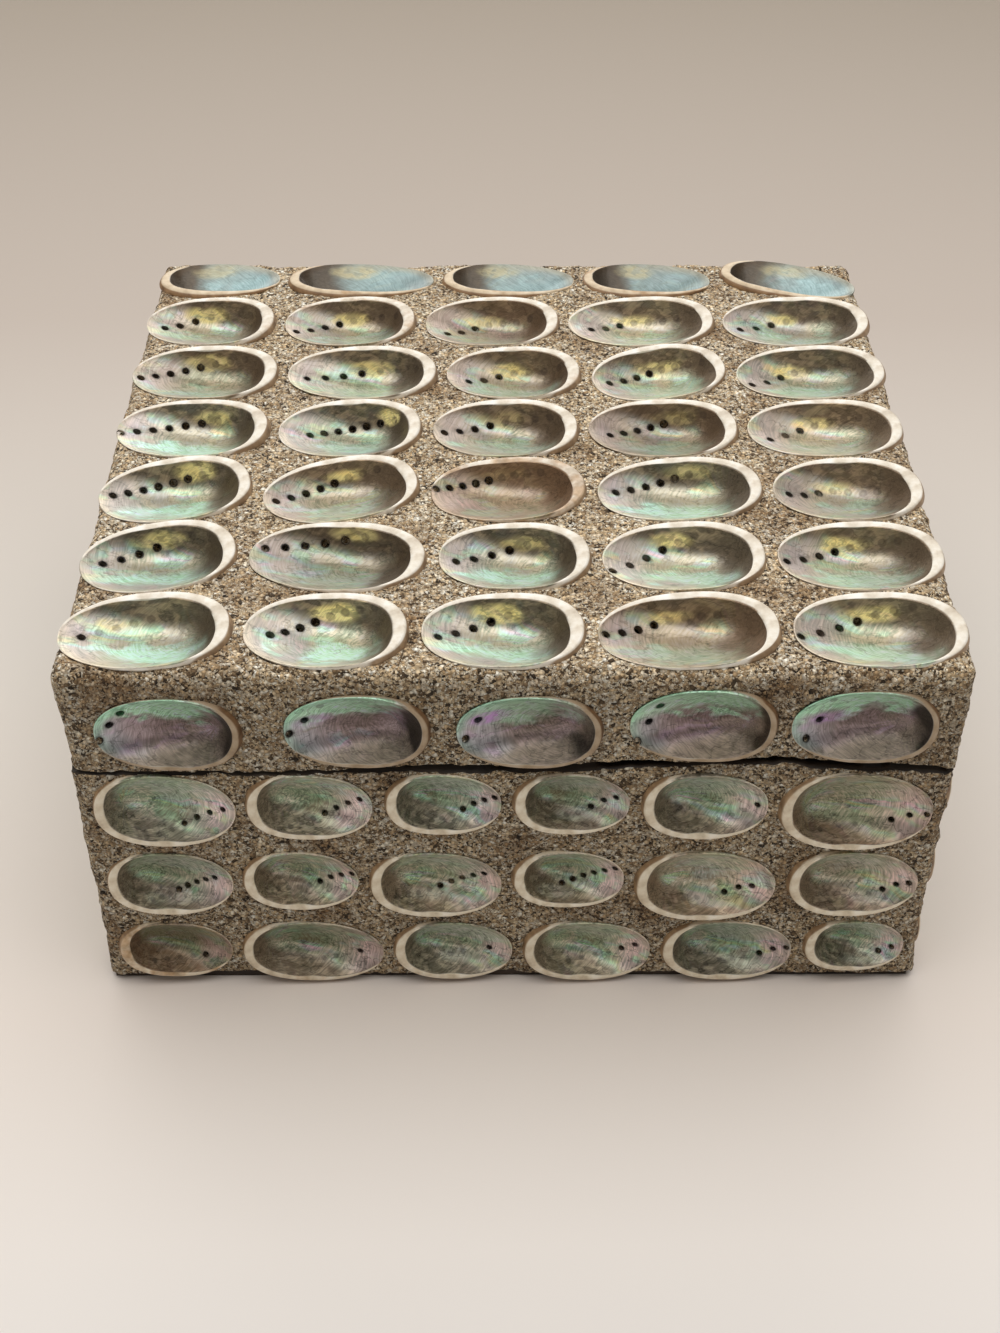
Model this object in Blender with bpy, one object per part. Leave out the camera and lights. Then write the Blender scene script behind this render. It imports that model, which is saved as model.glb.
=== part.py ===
# A square keepsake box with a lift-off lid. The base and the lid are boards with a coat of coarse
# sand mortar cast onto them, and abalone shells, open side out, are pressed into the coat.
# Run it with blender --background --python part.py, or from Blender's text editor.
# Units are metres and +Z is up. The front faces -Y, and the origin is under the middle of the box.

import math
import random
from collections import namedtuple

import bpy
import bmesh
from mathutils import Matrix, Vector

MM = 0.001

# Overall sizes, over the sand coat
BOX_WIDTH = 249 * MM
BOX_DEPTH = 232 * MM
RIM_HEIGHT = 88 * MM        # floor to the flat rim that carries the lid
LID_HEIGHT = 36.5 * MM      # flat rim to the top of the lid

# Walls, board and coat together
LID_WALL = 15 * MM
LID_TOP_THICKNESS = 17 * MM
FLOOR_THICKNESS = 14 * MM

# The lip inside the base's rim, which keeps the lid in place
LIP_HEIGHT = 6 * MM
LIP_THICKNESS = 5 * MM
LIP_CLEARANCE = 1 * MM

# The coat's edges: rounded corners, a step back to the board at the seam and at the foot
CORNER_RADIUS = 4 * MM
TOP_ROUND = 2.5 * MM
SEAM_STEP = 3.5 * MM
FOOT_STEP = 4 * MM
FOOT_HEIGHT = 1.5 * MM
FOOT_WAVE = 1 * MM
FOOT_WAVES = 3.5            # waves of the coat's lower edge along a side
COAT_LUMP = 0.8 * MM
TOUCH_GAP = 0.3 * MM        # between pieces that rest on or lie in each other

# Height of the lid's lower edge over the rim, and of the base's upper edge, at equal steps from
# the left end of a side to its right end. The coat stops short of the seam in a wavy line.
LID_EDGE = [h * MM for h in (0.6, 0.6, 0.7, 1.4, 3.3, 2.5, 3.8, 4.5, 6.2, 3.7, 0.8)]
BASE_EDGE = [h * MM for h in (-0.4, -0.4, -0.2, 0.2, 0.7, 0.7, 1.0, 3.3, 4.2, 1.0, -0.5)]
HIDDEN_EDGE_SHARE = 0.5     # the wave on the sides and the back, as a share of the front's

# Shells
SHELL_SIDES = 9
SHELL_DEPTH = 9 * MM
SHELL_THICKNESS = 1.5 * MM
TOP_ASPECT = 0.69           # width by length of the top's shells, where the row leaves room
BASE_ASPECT = 0.67          # the same on the base
LID_SIDE_ASPECT = 0.62      # and around the lid
EGG = 0.06                  # how much fuller the thick end is
RIM_LOW = 0.6 * MM          # the rim's height over the coat at the thin, buried side
RIM_HIGH = 3.2 * MM         # and at the thick, raised side
RIM_THIN = 1.6 * MM         # width of the rim's pale band at the thin side
RIM_THICK = 5 * MM          # and at the thick side
THICK_SIDE = math.radians(40)
OUTER_TAPER = 0.62          # the bowl's outer bottom, as a share of the rim's outline
INNER_TAPER = 0.60          # the same inside the rim
GAP_IN_ROW = 3 * MM
TOP_ROW_GAP = 2.5 * MM
BASE_ROW_GAP = 2 * MM
RECESS_RISE = 3 * MM        # how far a recess's cutter runs past the coat's face
SIDE_MARGIN = 3 * MM        # coat left free at the ends of a row on the sides
TOP_OVERHANG = 2 * MM       # how far the top's rows reach past the coat's face

# Rows of shells: each row lists the relative widths of its cells from left to right
TOP_ROW_HEIGHTS = (0.8, 1, 1, 1, 1, 1, 1)
TOP_CELLS = (
    (45, 54, 49, 48, 51),
    (47, 48, 49, 53, 53),
    (51, 52, 47, 48, 52),
    (51, 48, 49, 50, 52),
    (49, 50, 50, 53, 48),
    (48, 54, 47, 50, 51),
    (50, 48, 48, 53, 51),
)
TOP_TILTS = (
    (4, 0, 0, 0, -18),
    (0, 3, 0, 3, 0),
    (0, 0, 0, 16, 4),
    (0, 3, 0, 0, 0),
    (14, 16, 5, 5, 0),
    (14, -3, 0, 3, 0),
    (5, 0, 0, 5, 0),
)
LID_FRONT_MIDDLES = (0.108, 0.322, 0.517, 0.714, 0.897)       # as shares of the row
LID_FRONT_RAISE = [h * MM for h in (14.6, 15.5, 15.2, 17.5, 17)]  # middle of each over the rim
LID_SHELL_LENGTH = 0.168    # as a share of the row
BASE_ROW_HEIGHTS = (31, 30, 27)
BASE_CELLS = (
    (44, 40, 37, 37, 40, 48),
    (41, 38, 43, 37, 46, 43),
    (38, 47, 40, 43, 44, 35),
)
BASE_TILT = -4

# Plainer shells on the sides that are turned away
HIDDEN_SIDES = 6
HIDDEN_COLUMNS = 5
HIDDEN_RIM_HEIGHT = 2 * MM
HIDDEN_RIM_WIDTH = 2.5 * MM
HIDDEN_DEPTH = 6 * MM
HIDDEN_ROOT = 3 * MM        # how far a fused rim reaches into the coat
HIDDEN_LID_RAISE = 16 * MM  # middle of the lid's shells over the rim

CUT_MARGIN = 10 * MM        # how far a cutter runs past the surface it opens
FLATNESS = 0.0001 * MM      # a face that is bent by more is split

FRONT_STEPS = len(LID_EDGE) - 1
LID_TOP = RIM_HEIGHT + LID_HEIGHT
LID_CEILING = LID_TOP - LID_TOP_THICKNESS

# Each face of the box: its right, up and outward directions, its middle (a side's at floor level)
# and its length from left to right
Face = namedtuple("Face", "right up out middle length")
X = Vector((1, 0, 0))
Y = Vector((0, 1, 0))
Z = Vector((0, 0, 1))
FACES = {
    "front": Face(X, Z, -Y, -Y * BOX_DEPTH / 2, BOX_WIDTH),
    "right": Face(Y, Z, X, X * BOX_WIDTH / 2, BOX_DEPTH),
    "back": Face(-X, Z, Y, Y * BOX_DEPTH / 2, BOX_WIDTH),
    "left": Face(-Y, Z, -X, -X * BOX_WIDTH / 2, BOX_DEPTH),
    "top": Face(X, Y, Z, Z * LID_TOP, BOX_WIDTH),
}
WALL_FACES = ("front", "right", "back", "left")
HIDDEN_FACES = ("right", "back", "left")

# A shell's place: the matrix takes its own axes (X along it, Z out of the coat) to the box, and a
# hand of -1 mirrors it across its length
Shell = namedtuple("Shell", "name matrix length width hand")


def make_material(name, colour, roughness):
    material = bpy.data.materials.new(name)
    material.use_nodes = True
    shader = material.node_tree.nodes["Principled BSDF"]
    shader.inputs["Base Color"].default_value = (*colour, 1.0)
    shader.inputs["Roughness"].default_value = roughness
    shader.inputs["Metallic"].default_value = 0.0
    return material


def add_object(name, bm, material=None):
    bmesh.ops.recalc_face_normals(bm, faces=bm.faces)
    mesh = bpy.data.meshes.new(name)
    bm.to_mesh(mesh)
    bm.free()
    item = bpy.data.objects.new(name, mesh)
    bpy.context.scene.collection.objects.link(item)
    if material is not None:
        mesh.materials.append(material)
    return item


def add_cutter(name, bm):
    cutter = add_object(name, bm)
    cutter.hide_render = True
    cutter.display_type = "WIRE"
    return cutter


def combine(body, operation, cutter):
    modifier = body.modifiers.new(cutter.name, "BOOLEAN")
    modifier.operation = operation
    modifier.solver = "EXACT"
    modifier.object = cutter


def add_block(bm, half_width, half_depth, low, high):
    size = Matrix.Diagonal((2 * half_width, 2 * half_depth, high - low, 1))
    middle = Matrix.Translation((0, 0, (low + high) / 2))
    bmesh.ops.create_cube(bm, size=1, matrix=middle @ size)


def stack_loops(bm, loops):
    """Skin closed loops of equal count into one solid, with a flat face on the first and the last."""
    rings = [[bm.verts.new(point) for point in loop] for loop in loops]
    count = len(rings[0])
    for low, high in zip(rings, rings[1:]):
        for i in range(count):
            j = (i + 1) % count
            bm.faces.new((low[i], low[j], high[j], high[i]))
    bm.faces.new(list(reversed(rings[0])))
    bm.faces.new(rings[-1])


def is_bent(face):
    start = face.verts[0].co
    return any(abs((vert.co - start).dot(face.normal)) > FLATNESS for vert in face.verts)


def split_bent_faces(bm):
    """Split the quads that lumps and waves have bent in triangles, and keep the flat faces."""
    bm.normal_update()
    bmesh.ops.triangulate(bm, faces=[face for face in bm.faces if is_bent(face)])


def steps_along(face):
    """The hidden sides step from shell to shell."""
    return FRONT_STEPS if face == "front" else HIDDEN_COLUMNS


def coat_loop(inset, height_at, lump=0.0, seed=0):
    """Points around the box, corner to corner on each side, at a distance inside the coat's face.

    The front is lumpy, and height_at gives the height for a face and a share of its length."""
    noise = random.Random(seed)
    loop = []
    for face in WALL_FACES:
        side = FACES[face]
        half_run = side.length / 2 - CORNER_RADIUS - inset
        steps = steps_along(face)
        for step in range(steps + 1):
            bulge = lump * noise.uniform(-1, 1) if face == "front" else 0
            along = side.right * half_run * (2 * step / steps - 1)
            height = height_at(face, step / steps)
            loop.append(side.middle + along + side.out * (bulge - inset) + side.up * height)
    return loop


def edge_wave(heights):
    """The height of a wavy edge: the full wave in front, less on the other sides."""
    def height_at(face, share):
        part = 1 if face == "front" else HIDDEN_EDGE_SHARE
        corner = heights[0]
        return RIM_HEIGHT + corner + part * (heights[round(share * FRONT_STEPS)] - corner)
    return height_at


def foot_wave(face, share):
    return FOOT_HEIGHT + FOOT_WAVE * math.sin(FOOT_WAVES * math.pi * share) ** 2


def level(height):
    return lambda face, share: height


def lid_body(bm):
    seat = RIM_HEIGHT + TOUCH_GAP
    board = SEAM_STEP + TOUCH_GAP
    edge = edge_wave(LID_EDGE)
    stack_loops(bm, [
        coat_loop(board, level(seat)),
        coat_loop(board, edge),
        coat_loop(0, edge, COAT_LUMP, 1),
        coat_loop(0, level(LID_TOP - TOP_ROUND), COAT_LUMP, 2),
        coat_loop(TOP_ROUND, level(LID_TOP)),
    ])
    split_bent_faces(bm)


def base_body(bm):
    edge = edge_wave(BASE_EDGE)
    stack_loops(bm, [
        coat_loop(FOOT_STEP, level(0)),
        coat_loop(FOOT_STEP, foot_wave),
        coat_loop(0, foot_wave, COAT_LUMP, 3),
        coat_loop(0, edge, COAT_LUMP, 4),
        coat_loop(SEAM_STEP, edge),
        coat_loop(SEAM_STEP, level(RIM_HEIGHT)),
    ])
    split_bent_faces(bm)


def egg_loop(shell, sides, inset_at, height_at):
    """An egg-shaped loop around a shell's middle, fuller at +X, inset and raised by angle."""
    loop = []
    for i in range(sides):
        angle = 2 * math.pi * (i + 0.5) / sides
        x = (shell.length / 2 - inset_at(angle)) * math.cos(angle)
        y = (shell.width / 2 - inset_at(angle)) * math.sin(angle) * (1 + EGG * math.cos(angle))
        loop.append(Vector((x, y * shell.hand, height_at(angle))))
    return loop


def constant(value):
    return lambda angle: value


def thick_share(angle):
    return (1 + math.cos(angle - THICK_SIDE)) / 2


def rim_height(angle):
    return RIM_LOW + (RIM_HIGH - RIM_LOW) * thick_share(angle)


def rim_width(angle):
    return RIM_THIN + (RIM_THICK - RIM_THIN) * thick_share(angle) ** 2


def scaled(loop, share, height):
    return [Vector((point.x * share, point.y * share, height)) for point in loop]


def shell_bowl(bm, shell):
    """An open bowl: outer bottom, outer rim, inner rim, inner bottom."""
    outer = egg_loop(shell, SHELL_SIDES, constant(0), rim_height)
    inner = egg_loop(shell, SHELL_SIDES, rim_width, rim_height)
    stack_loops(bm, [
        scaled(outer, OUTER_TAPER, -SHELL_DEPTH),
        outer,
        inner,
        scaled(inner, INNER_TAPER, SHELL_THICKNESS - SHELL_DEPTH),
    ])


def shell_recess(bm, shell):
    """The room a shell takes in the coat, with the touch gap around it, widening outwards."""
    outer = egg_loop(shell, SHELL_SIDES, constant(-TOUCH_GAP), constant(0))
    widening = (1 - OUTER_TAPER) / SHELL_DEPTH
    stack_loops(bm, [
        scaled(outer, OUTER_TAPER, -SHELL_DEPTH - TOUCH_GAP),
        scaled(outer, 1 + widening * RECESS_RISE, RECESS_RISE),
    ])


def hidden_rim(bm, shell):
    """A few-sided raised rim, fused with the coat."""
    outer = egg_loop(shell, HIDDEN_SIDES, constant(0), constant(0))
    stack_loops(bm, [scaled(outer, 1, -HIDDEN_ROOT), scaled(outer, 1, HIDDEN_RIM_HEIGHT)])


def hidden_bowl(bm, shell):
    """The hollow inside a fused rim, widening outwards from a small flat bottom."""
    inner = egg_loop(shell, HIDDEN_SIDES, constant(HIDDEN_RIM_WIDTH), constant(0))
    widening = (1 - INNER_TAPER) / (HIDDEN_RIM_HEIGHT + HIDDEN_DEPTH)
    stack_loops(bm, [
        scaled(inner, INNER_TAPER, -HIDDEN_DEPTH),
        scaled(inner, 1 + widening * RECESS_RISE, HIDDEN_RIM_HEIGHT + RECESS_RISE),
    ])


def place(face, across, up_by, turn):
    """Matrix from a shell's own axes to its place on a face of the box, turned by degrees."""
    side = FACES[face]
    axes = Matrix((side.right, side.up, side.out)).transposed().to_4x4()
    spot = Matrix.Translation(side.middle + side.right * across + side.up * up_by)
    return spot @ axes @ Matrix.Rotation(math.radians(turn), 4, "Z")


def row_cells(shares, room):
    """Middle and size of each cell of a row that fills the room, in order."""
    unit = room / sum(shares)
    start = -room / 2
    cells = []
    for share in shares:
        cells.append((start + share * unit / 2, share * unit))
        start += share * unit
    return cells


def row_room(face):
    return FACES[face].length + 2 * (TOP_OVERHANG if face == "top" else -SIDE_MARGIN)


def top_shells():
    """The lid's top shells. Those of the back row lie the other way round."""
    shells = []
    for row, (from_back, height) in enumerate(row_cells(TOP_ROW_HEIGHTS, BOX_DEPTH)):
        for column, (across, cell) in enumerate(row_cells(TOP_CELLS[row], row_room("top"))):
            turn = TOP_TILTS[row][column] + (180 if row == 0 else 0)
            length = cell - GAP_IN_ROW
            width = min(height - TOP_ROW_GAP, TOP_ASPECT * length)
            name = f"top_shell_{row + 1}_{column + 1}"
            shells.append(Shell(name, place("top", across, -from_back, turn), length, width, 1))
    return shells


def lid_side_shells(face, middles, raises):
    """One row around the lid. These are mirrored, with the thick side low."""
    room = row_room(face)
    length = LID_SHELL_LENGTH * room
    shells = []
    for column, (middle, raised) in enumerate(zip(middles, raises)):
        spot = place(face, (middle - 0.5) * room, RIM_HEIGHT + raised, 0)
        name = f"lid_{face}_shell_{column + 1}"
        shells.append(Shell(name, spot, length, LID_SIDE_ASPECT * length, -1))
    return shells


def base_side_shells(face, rows):
    """Rows around the base, which hang from the tops of their cells, with the thick side down."""
    shells = []
    for row, (from_top, height) in enumerate(row_cells(BASE_ROW_HEIGHTS, RIM_HEIGHT)):
        row_top = RIM_HEIGHT / 2 - from_top + height / 2
        for column, (across, cell) in enumerate(row_cells(rows[row], row_room(face))):
            length = cell - GAP_IN_ROW
            width = min(height - BASE_ROW_GAP, BASE_ASPECT * length)
            up_by = row_top - BASE_ROW_GAP / 2 - width / 2
            name = f"base_{face}_shell_{row + 1}_{column + 1}"
            shells.append(Shell(name, place(face, across, up_by, 180 + BASE_TILT), length, width, 1))
    return shells


def join_shapes(shells, shape):
    """One mesh that holds a shape for each shell, at the shell's place."""
    joined = bmesh.new()
    for shell in shells:
        first = len(joined.verts)
        shape(joined, shell)
        joined.verts.ensure_lookup_table()
        bmesh.ops.transform(joined, matrix=shell.matrix, verts=joined.verts[first:])
    return joined


def add_shells(shells, material):
    for shell in shells:
        bm = bmesh.new()
        shell_bowl(bm, shell)
        item = add_object(shell.name, bm, material)
        item.matrix_world = shell.matrix


def dress(body, shells, hidden):
    """Fuse the hidden sides' shells with a body, and cut the recesses of the others."""
    name = body.name
    combine(body, "UNION", add_cutter(f"{name}_hidden_rims", join_shapes(hidden, hidden_rim)))
    combine(body, "DIFFERENCE", add_cutter(f"{name}_hidden_bowls", join_shapes(hidden, hidden_bowl)))
    combine(body, "DIFFERENCE", add_cutter(f"{name}_recesses", join_shapes(shells, shell_recess)))


def make_lid(sand, nacre):
    bm = bmesh.new()
    lid_body(bm)
    lid = add_object("lid", bm, sand)

    hollow = bmesh.new()
    half_width = BOX_WIDTH / 2 - LID_WALL
    half_depth = BOX_DEPTH / 2 - LID_WALL
    add_block(hollow, half_width, half_depth, RIM_HEIGHT - CUT_MARGIN, LID_CEILING)
    combine(lid, "DIFFERENCE", add_cutter("lid_hollow", hollow))

    shells = top_shells() + lid_side_shells("front", LID_FRONT_MIDDLES, LID_FRONT_RAISE)
    even = [(column + 0.5) / HIDDEN_COLUMNS for column in range(HIDDEN_COLUMNS)]
    hidden = []
    for face in HIDDEN_FACES:
        hidden += lid_side_shells(face, even, [HIDDEN_LID_RAISE] * HIDDEN_COLUMNS)
    dress(lid, shells, hidden)
    add_shells(shells, nacre)


def make_base(sand, nacre):
    bm = bmesh.new()
    base_body(bm)
    base = add_object("base", bm, sand)

    lip = bmesh.new()
    half_width = BOX_WIDTH / 2 - LID_WALL - LIP_CLEARANCE
    half_depth = BOX_DEPTH / 2 - LID_WALL - LIP_CLEARANCE
    add_block(lip, half_width, half_depth, RIM_HEIGHT - CUT_MARGIN, RIM_HEIGHT + LIP_HEIGHT)
    combine(base, "UNION", add_cutter("base_lip", lip))

    hollow = bmesh.new()
    top = RIM_HEIGHT + LIP_HEIGHT + CUT_MARGIN
    add_block(hollow, half_width - LIP_THICKNESS, half_depth - LIP_THICKNESS, FLOOR_THICKNESS, top)
    combine(base, "DIFFERENCE", add_cutter("base_hollow", hollow))

    shells = base_side_shells("front", BASE_CELLS)
    hidden = []
    for face in HIDDEN_FACES:
        hidden += base_side_shells(face, [[1] * HIDDEN_COLUMNS] * len(BASE_ROW_HEIGHTS))
    dress(base, shells, hidden)
    add_shells(shells, nacre)


for item in list(bpy.data.objects):
    bpy.data.objects.remove(item)

sand_mortar = make_material("sand_mortar", (0.36, 0.27, 0.18), 0.95)
abalone = make_material("abalone", (0.62, 0.64, 0.58), 0.35)
make_lid(sand_mortar, abalone)
make_base(sand_mortar, abalone)
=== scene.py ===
import itertools
import math
from collections import namedtuple

import bmesh
import bpy
import numpy as np
from mathutils import Matrix, Vector
from mathutils.bvhtree import BVHTree


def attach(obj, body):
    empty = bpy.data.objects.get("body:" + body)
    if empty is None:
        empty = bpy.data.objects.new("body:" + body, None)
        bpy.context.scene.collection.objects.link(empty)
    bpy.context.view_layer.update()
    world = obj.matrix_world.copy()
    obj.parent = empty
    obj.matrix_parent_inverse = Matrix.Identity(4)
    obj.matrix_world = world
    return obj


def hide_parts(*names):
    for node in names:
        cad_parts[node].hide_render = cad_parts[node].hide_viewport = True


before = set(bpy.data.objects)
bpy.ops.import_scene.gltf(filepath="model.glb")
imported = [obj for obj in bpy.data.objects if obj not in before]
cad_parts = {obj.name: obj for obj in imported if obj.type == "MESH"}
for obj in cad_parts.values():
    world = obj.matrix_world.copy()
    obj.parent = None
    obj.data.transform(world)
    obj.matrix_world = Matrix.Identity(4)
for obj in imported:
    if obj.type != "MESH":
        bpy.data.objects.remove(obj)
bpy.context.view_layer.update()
print("CAD nodes:", len(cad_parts))

# %% [markdown]
# ## The sizes that the box is made to
# All lengths are in metres. The coat's face is the reference: shells lie in it, and their raised
# rims stand a little proud of it. The lid and the base meet at a flat rim of board, and the coat
# stops short of that seam in a wavy line, because wet mortar was pushed up to it by hand.
# %% Sizes of the box
MM = 0.001
BOX_WIDTH = 249 * MM
BOX_DEPTH = 232 * MM
RIM_HEIGHT = 88 * MM
LID_HEIGHT = 36.5 * MM
LID_TOP = RIM_HEIGHT + LID_HEIGHT
LID_WALL = 15 * MM
LID_CEILING = LID_TOP - 17 * MM
FLOOR_THICKNESS = 14 * MM
LIP_HEIGHT = 6 * MM
LIP_THICKNESS = 5 * MM
LIP_CLEARANCE = 1 * MM
TOUCH_GAP = 0.3 * MM

EDGE_ROUND = 3.5 * MM       # the coat's rounded corners and top edges
SEAM_STEP = 3.5 * MM        # the coat stands this far out from the board at the seam
FOOT_STEP = 1.4 * MM
FOOT_HEIGHT = 2.4 * MM
FOOT_WAVE = 1 * MM
FOOT_WAVES = 3.5
LID_EDGE = (0.6, 0.6, 0.7, 1.4, 3.3, 2.5, 3.8, 4.5, 6.2, 3.7, 0.8)
BASE_EDGE = (-0.5, -0.6, -0.5, -0.1, 0.3, 0.2, 0.4, 2.5, 3.5, 0.4, -1.0)
HIDDEN_EDGE_SHARE = 0.5     # the wave on the sides and back, as a share of the front's

Face = namedtuple("Face", "right up out middle length")
X, Y, Z = Vector((1, 0, 0)), Vector((0, 1, 0)), Vector((0, 0, 1))
FACES = {
    "front": Face(X, Z, -Y, -Y * BOX_DEPTH / 2, BOX_WIDTH),
    "right": Face(Y, Z, X, X * BOX_WIDTH / 2, BOX_DEPTH),
    "back": Face(-X, Z, Y, Y * BOX_DEPTH / 2, BOX_WIDTH),
    "left": Face(-Y, Z, -X, -X * BOX_WIDTH / 2, BOX_DEPTH),
    "top": Face(X, Y, Z, Z * LID_TOP, BOX_WIDTH),
}
HIDDEN_FACES = ("right", "back", "left")
print("box:", BOX_WIDTH, BOX_DEPTH, LID_TOP)

# %% [markdown]
# ## The camera
# The camera stands in front of the box, a little left of its middle, and looks down at it. It comes
# first, because the pores of each shell are set along lines of sight from it.
# %% Camera
PHOTO_HEIGHT = 1333
FOCAL_PIXELS = 1817.85
SENSOR = 36.0
CAMERA_SPOT = Vector((-7.517, -487.987, 437.5)) * MM
PITCH, YAW, ROLL = (math.radians(angle) for angle in (39.898, 0.522, 0.265))


def aim_camera():
    ahead = Vector((
        math.sin(YAW) * math.cos(PITCH),
        math.cos(YAW) * math.cos(PITCH),
        -math.sin(PITCH),
    ))
    level = Vector((math.cos(YAW), -math.sin(YAW), 0))
    upright = level.cross(ahead)
    right = level * math.cos(ROLL) + upright * math.sin(ROLL)
    up = upright * math.cos(ROLL) - level * math.sin(ROLL)
    turn = Matrix((right, up, -ahead)).transposed().to_4x4()
    return Matrix.Translation(CAMERA_SPOT) @ turn


camera = bpy.data.objects.new("camera", bpy.data.cameras.new("camera"))
bpy.context.scene.collection.objects.link(camera)
camera.data.sensor_width = SENSOR
camera.data.lens = FOCAL_PIXELS / PHOTO_HEIGHT * SENSOR
camera.matrix_world = aim_camera()
bpy.context.scene.camera = camera
print("camera lens:", round(camera.data.lens, 2), "mm")

# %% [markdown]
# ## Where the shells lie
# The shells lie in rows. A row's cells share out the face's length, and each shell nearly fills its
# cell. The CAD model places its shells by the same rule, so every piece here lands on its node. The
# sides that are turned away carry rows of the same kind.
# %% The rows of shells
GAP_IN_ROW = 3 * MM
TOP_ROW_GAP = 2.5 * MM
BASE_ROW_GAP = 2 * MM
SIDE_MARGIN = 3 * MM
TOP_OVERHANG = 2 * MM
TOP_ASPECT = 0.69
BASE_ASPECT = 0.67
LID_SIDE_ASPECT = 0.62
TOP_ROW_HEIGHTS = (0.8, 1, 1, 1, 1, 1, 1)
TOP_CELLS = (
    (45, 54, 49, 48, 51),
    (47, 48, 49, 53, 53),
    (51, 52, 47, 48, 52),
    (51, 48, 49, 50, 52),
    (49, 50, 50, 53, 48),
    (48, 54, 47, 50, 51),
    (50, 48, 48, 53, 51),
)
TOP_TILTS = (
    (4, 0, 0, 0, -18),
    (0, 3, 0, 3, 0),
    (0, 0, 0, 16, 4),
    (0, 3, 0, 0, 0),
    (14, 16, 5, 5, 0),
    (14, -3, 0, 3, 0),
    (5, 0, 0, 5, 0),
)
LID_FRONT_MIDDLES = (0.108, 0.322, 0.517, 0.714, 0.897)
LID_FRONT_RAISE = (14.6, 15.5, 15.2, 17.5, 17)
LID_SHELL_LENGTH = 0.168
BASE_ROW_HEIGHTS = (31, 30, 27)
BASE_CELLS = (
    (44, 40, 37, 37, 40, 48),
    (41, 38, 43, 37, 46, 43),
    (38, 47, 40, 43, 44, 35),
)
BASE_TILT = -4
HIDDEN_COLUMNS = 5
HIDDEN_LID_RAISE = 16
BACK_ROW_PROUD = 0.55
HIDDEN_PROUD = 0.6          # how far the lips on those sides stand up, as a share of the others

Shell = namedtuple("Shell", "name kind matrix length width hand proud")


def place(face, across, up_by, turn):
    side = FACES[face]
    axes = Matrix((side.right, side.up, side.out)).transposed().to_4x4()
    spot = Matrix.Translation(side.middle + side.right * across + side.up * up_by)
    return spot @ axes @ Matrix.Rotation(math.radians(turn), 4, "Z")


def row_cells(shares, room):
    unit = room / sum(shares)
    start = -room / 2
    cells = []
    for share in shares:
        cells.append((start + share * unit / 2, share * unit))
        start += share * unit
    return cells


def row_room(face):
    return FACES[face].length + 2 * (TOP_OVERHANG if face == "top" else -SIDE_MARGIN)


def top_shells():
    shells = []
    for row, (from_back, height) in enumerate(row_cells(TOP_ROW_HEIGHTS, BOX_DEPTH)):
        for column, (across, cell) in enumerate(row_cells(TOP_CELLS[row], row_room("top"))):
            turn = TOP_TILTS[row][column] + (180 if row == 0 else 0)
            length = cell - GAP_IN_ROW
            width = min(height - TOP_ROW_GAP, TOP_ASPECT * length)
            kind = "back row" if row == 0 else "top"
            name = f"top_shell_{row + 1}_{column + 1}"
            spot = place("top", across, -from_back, turn)
            shells.append(Shell(name, kind, spot, length, width, 1, BACK_ROW_PROUD if row == 0 else 1))
    return shells


def proud_of(face):
    return 1 if face == "front" else HIDDEN_PROUD


def lid_side_shells(face, middles, raises):
    room = row_room(face)
    length = LID_SHELL_LENGTH * room
    width = LID_SIDE_ASPECT * length
    shells = []
    for column, (middle, raised) in enumerate(zip(middles, raises)):
        spot = place(face, (middle - 0.5) * room, RIM_HEIGHT + raised * MM, 0)
        name = f"lid_{face}_shell_{column + 1}"
        shells.append(Shell(name, "lid side", spot, length, width, -1, proud_of(face)))
    return shells


def base_side_shells(face, rows):
    shells = []
    for row, (from_top, height) in enumerate(row_cells(BASE_ROW_HEIGHTS, RIM_HEIGHT)):
        row_top = RIM_HEIGHT / 2 - from_top + height / 2
        for column, (across, cell) in enumerate(row_cells(rows[row], row_room(face))):
            length = cell - GAP_IN_ROW
            width = min(height - BASE_ROW_GAP, BASE_ASPECT * length)
            spot = place(face, across, row_top - BASE_ROW_GAP / 2 - width / 2, 180 + BASE_TILT)
            name = f"base_{face}_shell_{row + 1}_{column + 1}"
            shells.append(Shell(name, "base side", spot, length, width, 1, proud_of(face)))
    return shells


lid_shells = top_shells() + lid_side_shells("front", LID_FRONT_MIDDLES, LID_FRONT_RAISE)
base_shells = base_side_shells("front", BASE_CELLS)
even_middles = [(column + 0.5) / HIDDEN_COLUMNS for column in range(HIDDEN_COLUMNS)]
hidden_lid = {
    face: lid_side_shells(face, even_middles, [HIDDEN_LID_RAISE] * HIDDEN_COLUMNS)
    for face in HIDDEN_FACES
}
hidden_base = {
    face: base_side_shells(face, [[1] * HIDDEN_COLUMNS] * len(BASE_ROW_HEIGHTS))
    for face in HIDDEN_FACES
}
print("shells with a node of their own:", len(lid_shells) + len(base_shells))

# %% [markdown]
# ## The form of one shell
# An abalone shell is an egg-shaped bowl. At one side its lip is thick and stands up from the sand;
# opposite, the lip is thin and lies flush with it. These few rules give every measure by the angle
# around the shell, and both the shells and the hollows in the sand follow them.
# %% How a shell's lip changes around it
EGG = 0.06
SQUARENESS = 2.2            # 2 would be an ellipse
THICK_SIDE = math.radians(40)
LIP_LOW, LIP_HIGH = 0.1 * MM, 3.0 * MM          # height over the coat, thin side and thick side
FLANK_THIN, FLANK_THICK = 0.1 * MM, 1.2 * MM    # the outer skin that shows beyond the lip
BAND_THIN, BAND_THICK = 0.25 * MM, 4.1 * MM     # the pale face of the lip
BAND_SHARES = {"top": 1.0, "back row": 0.8, "base side": 0.72, "lid side": 0.42}
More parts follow.
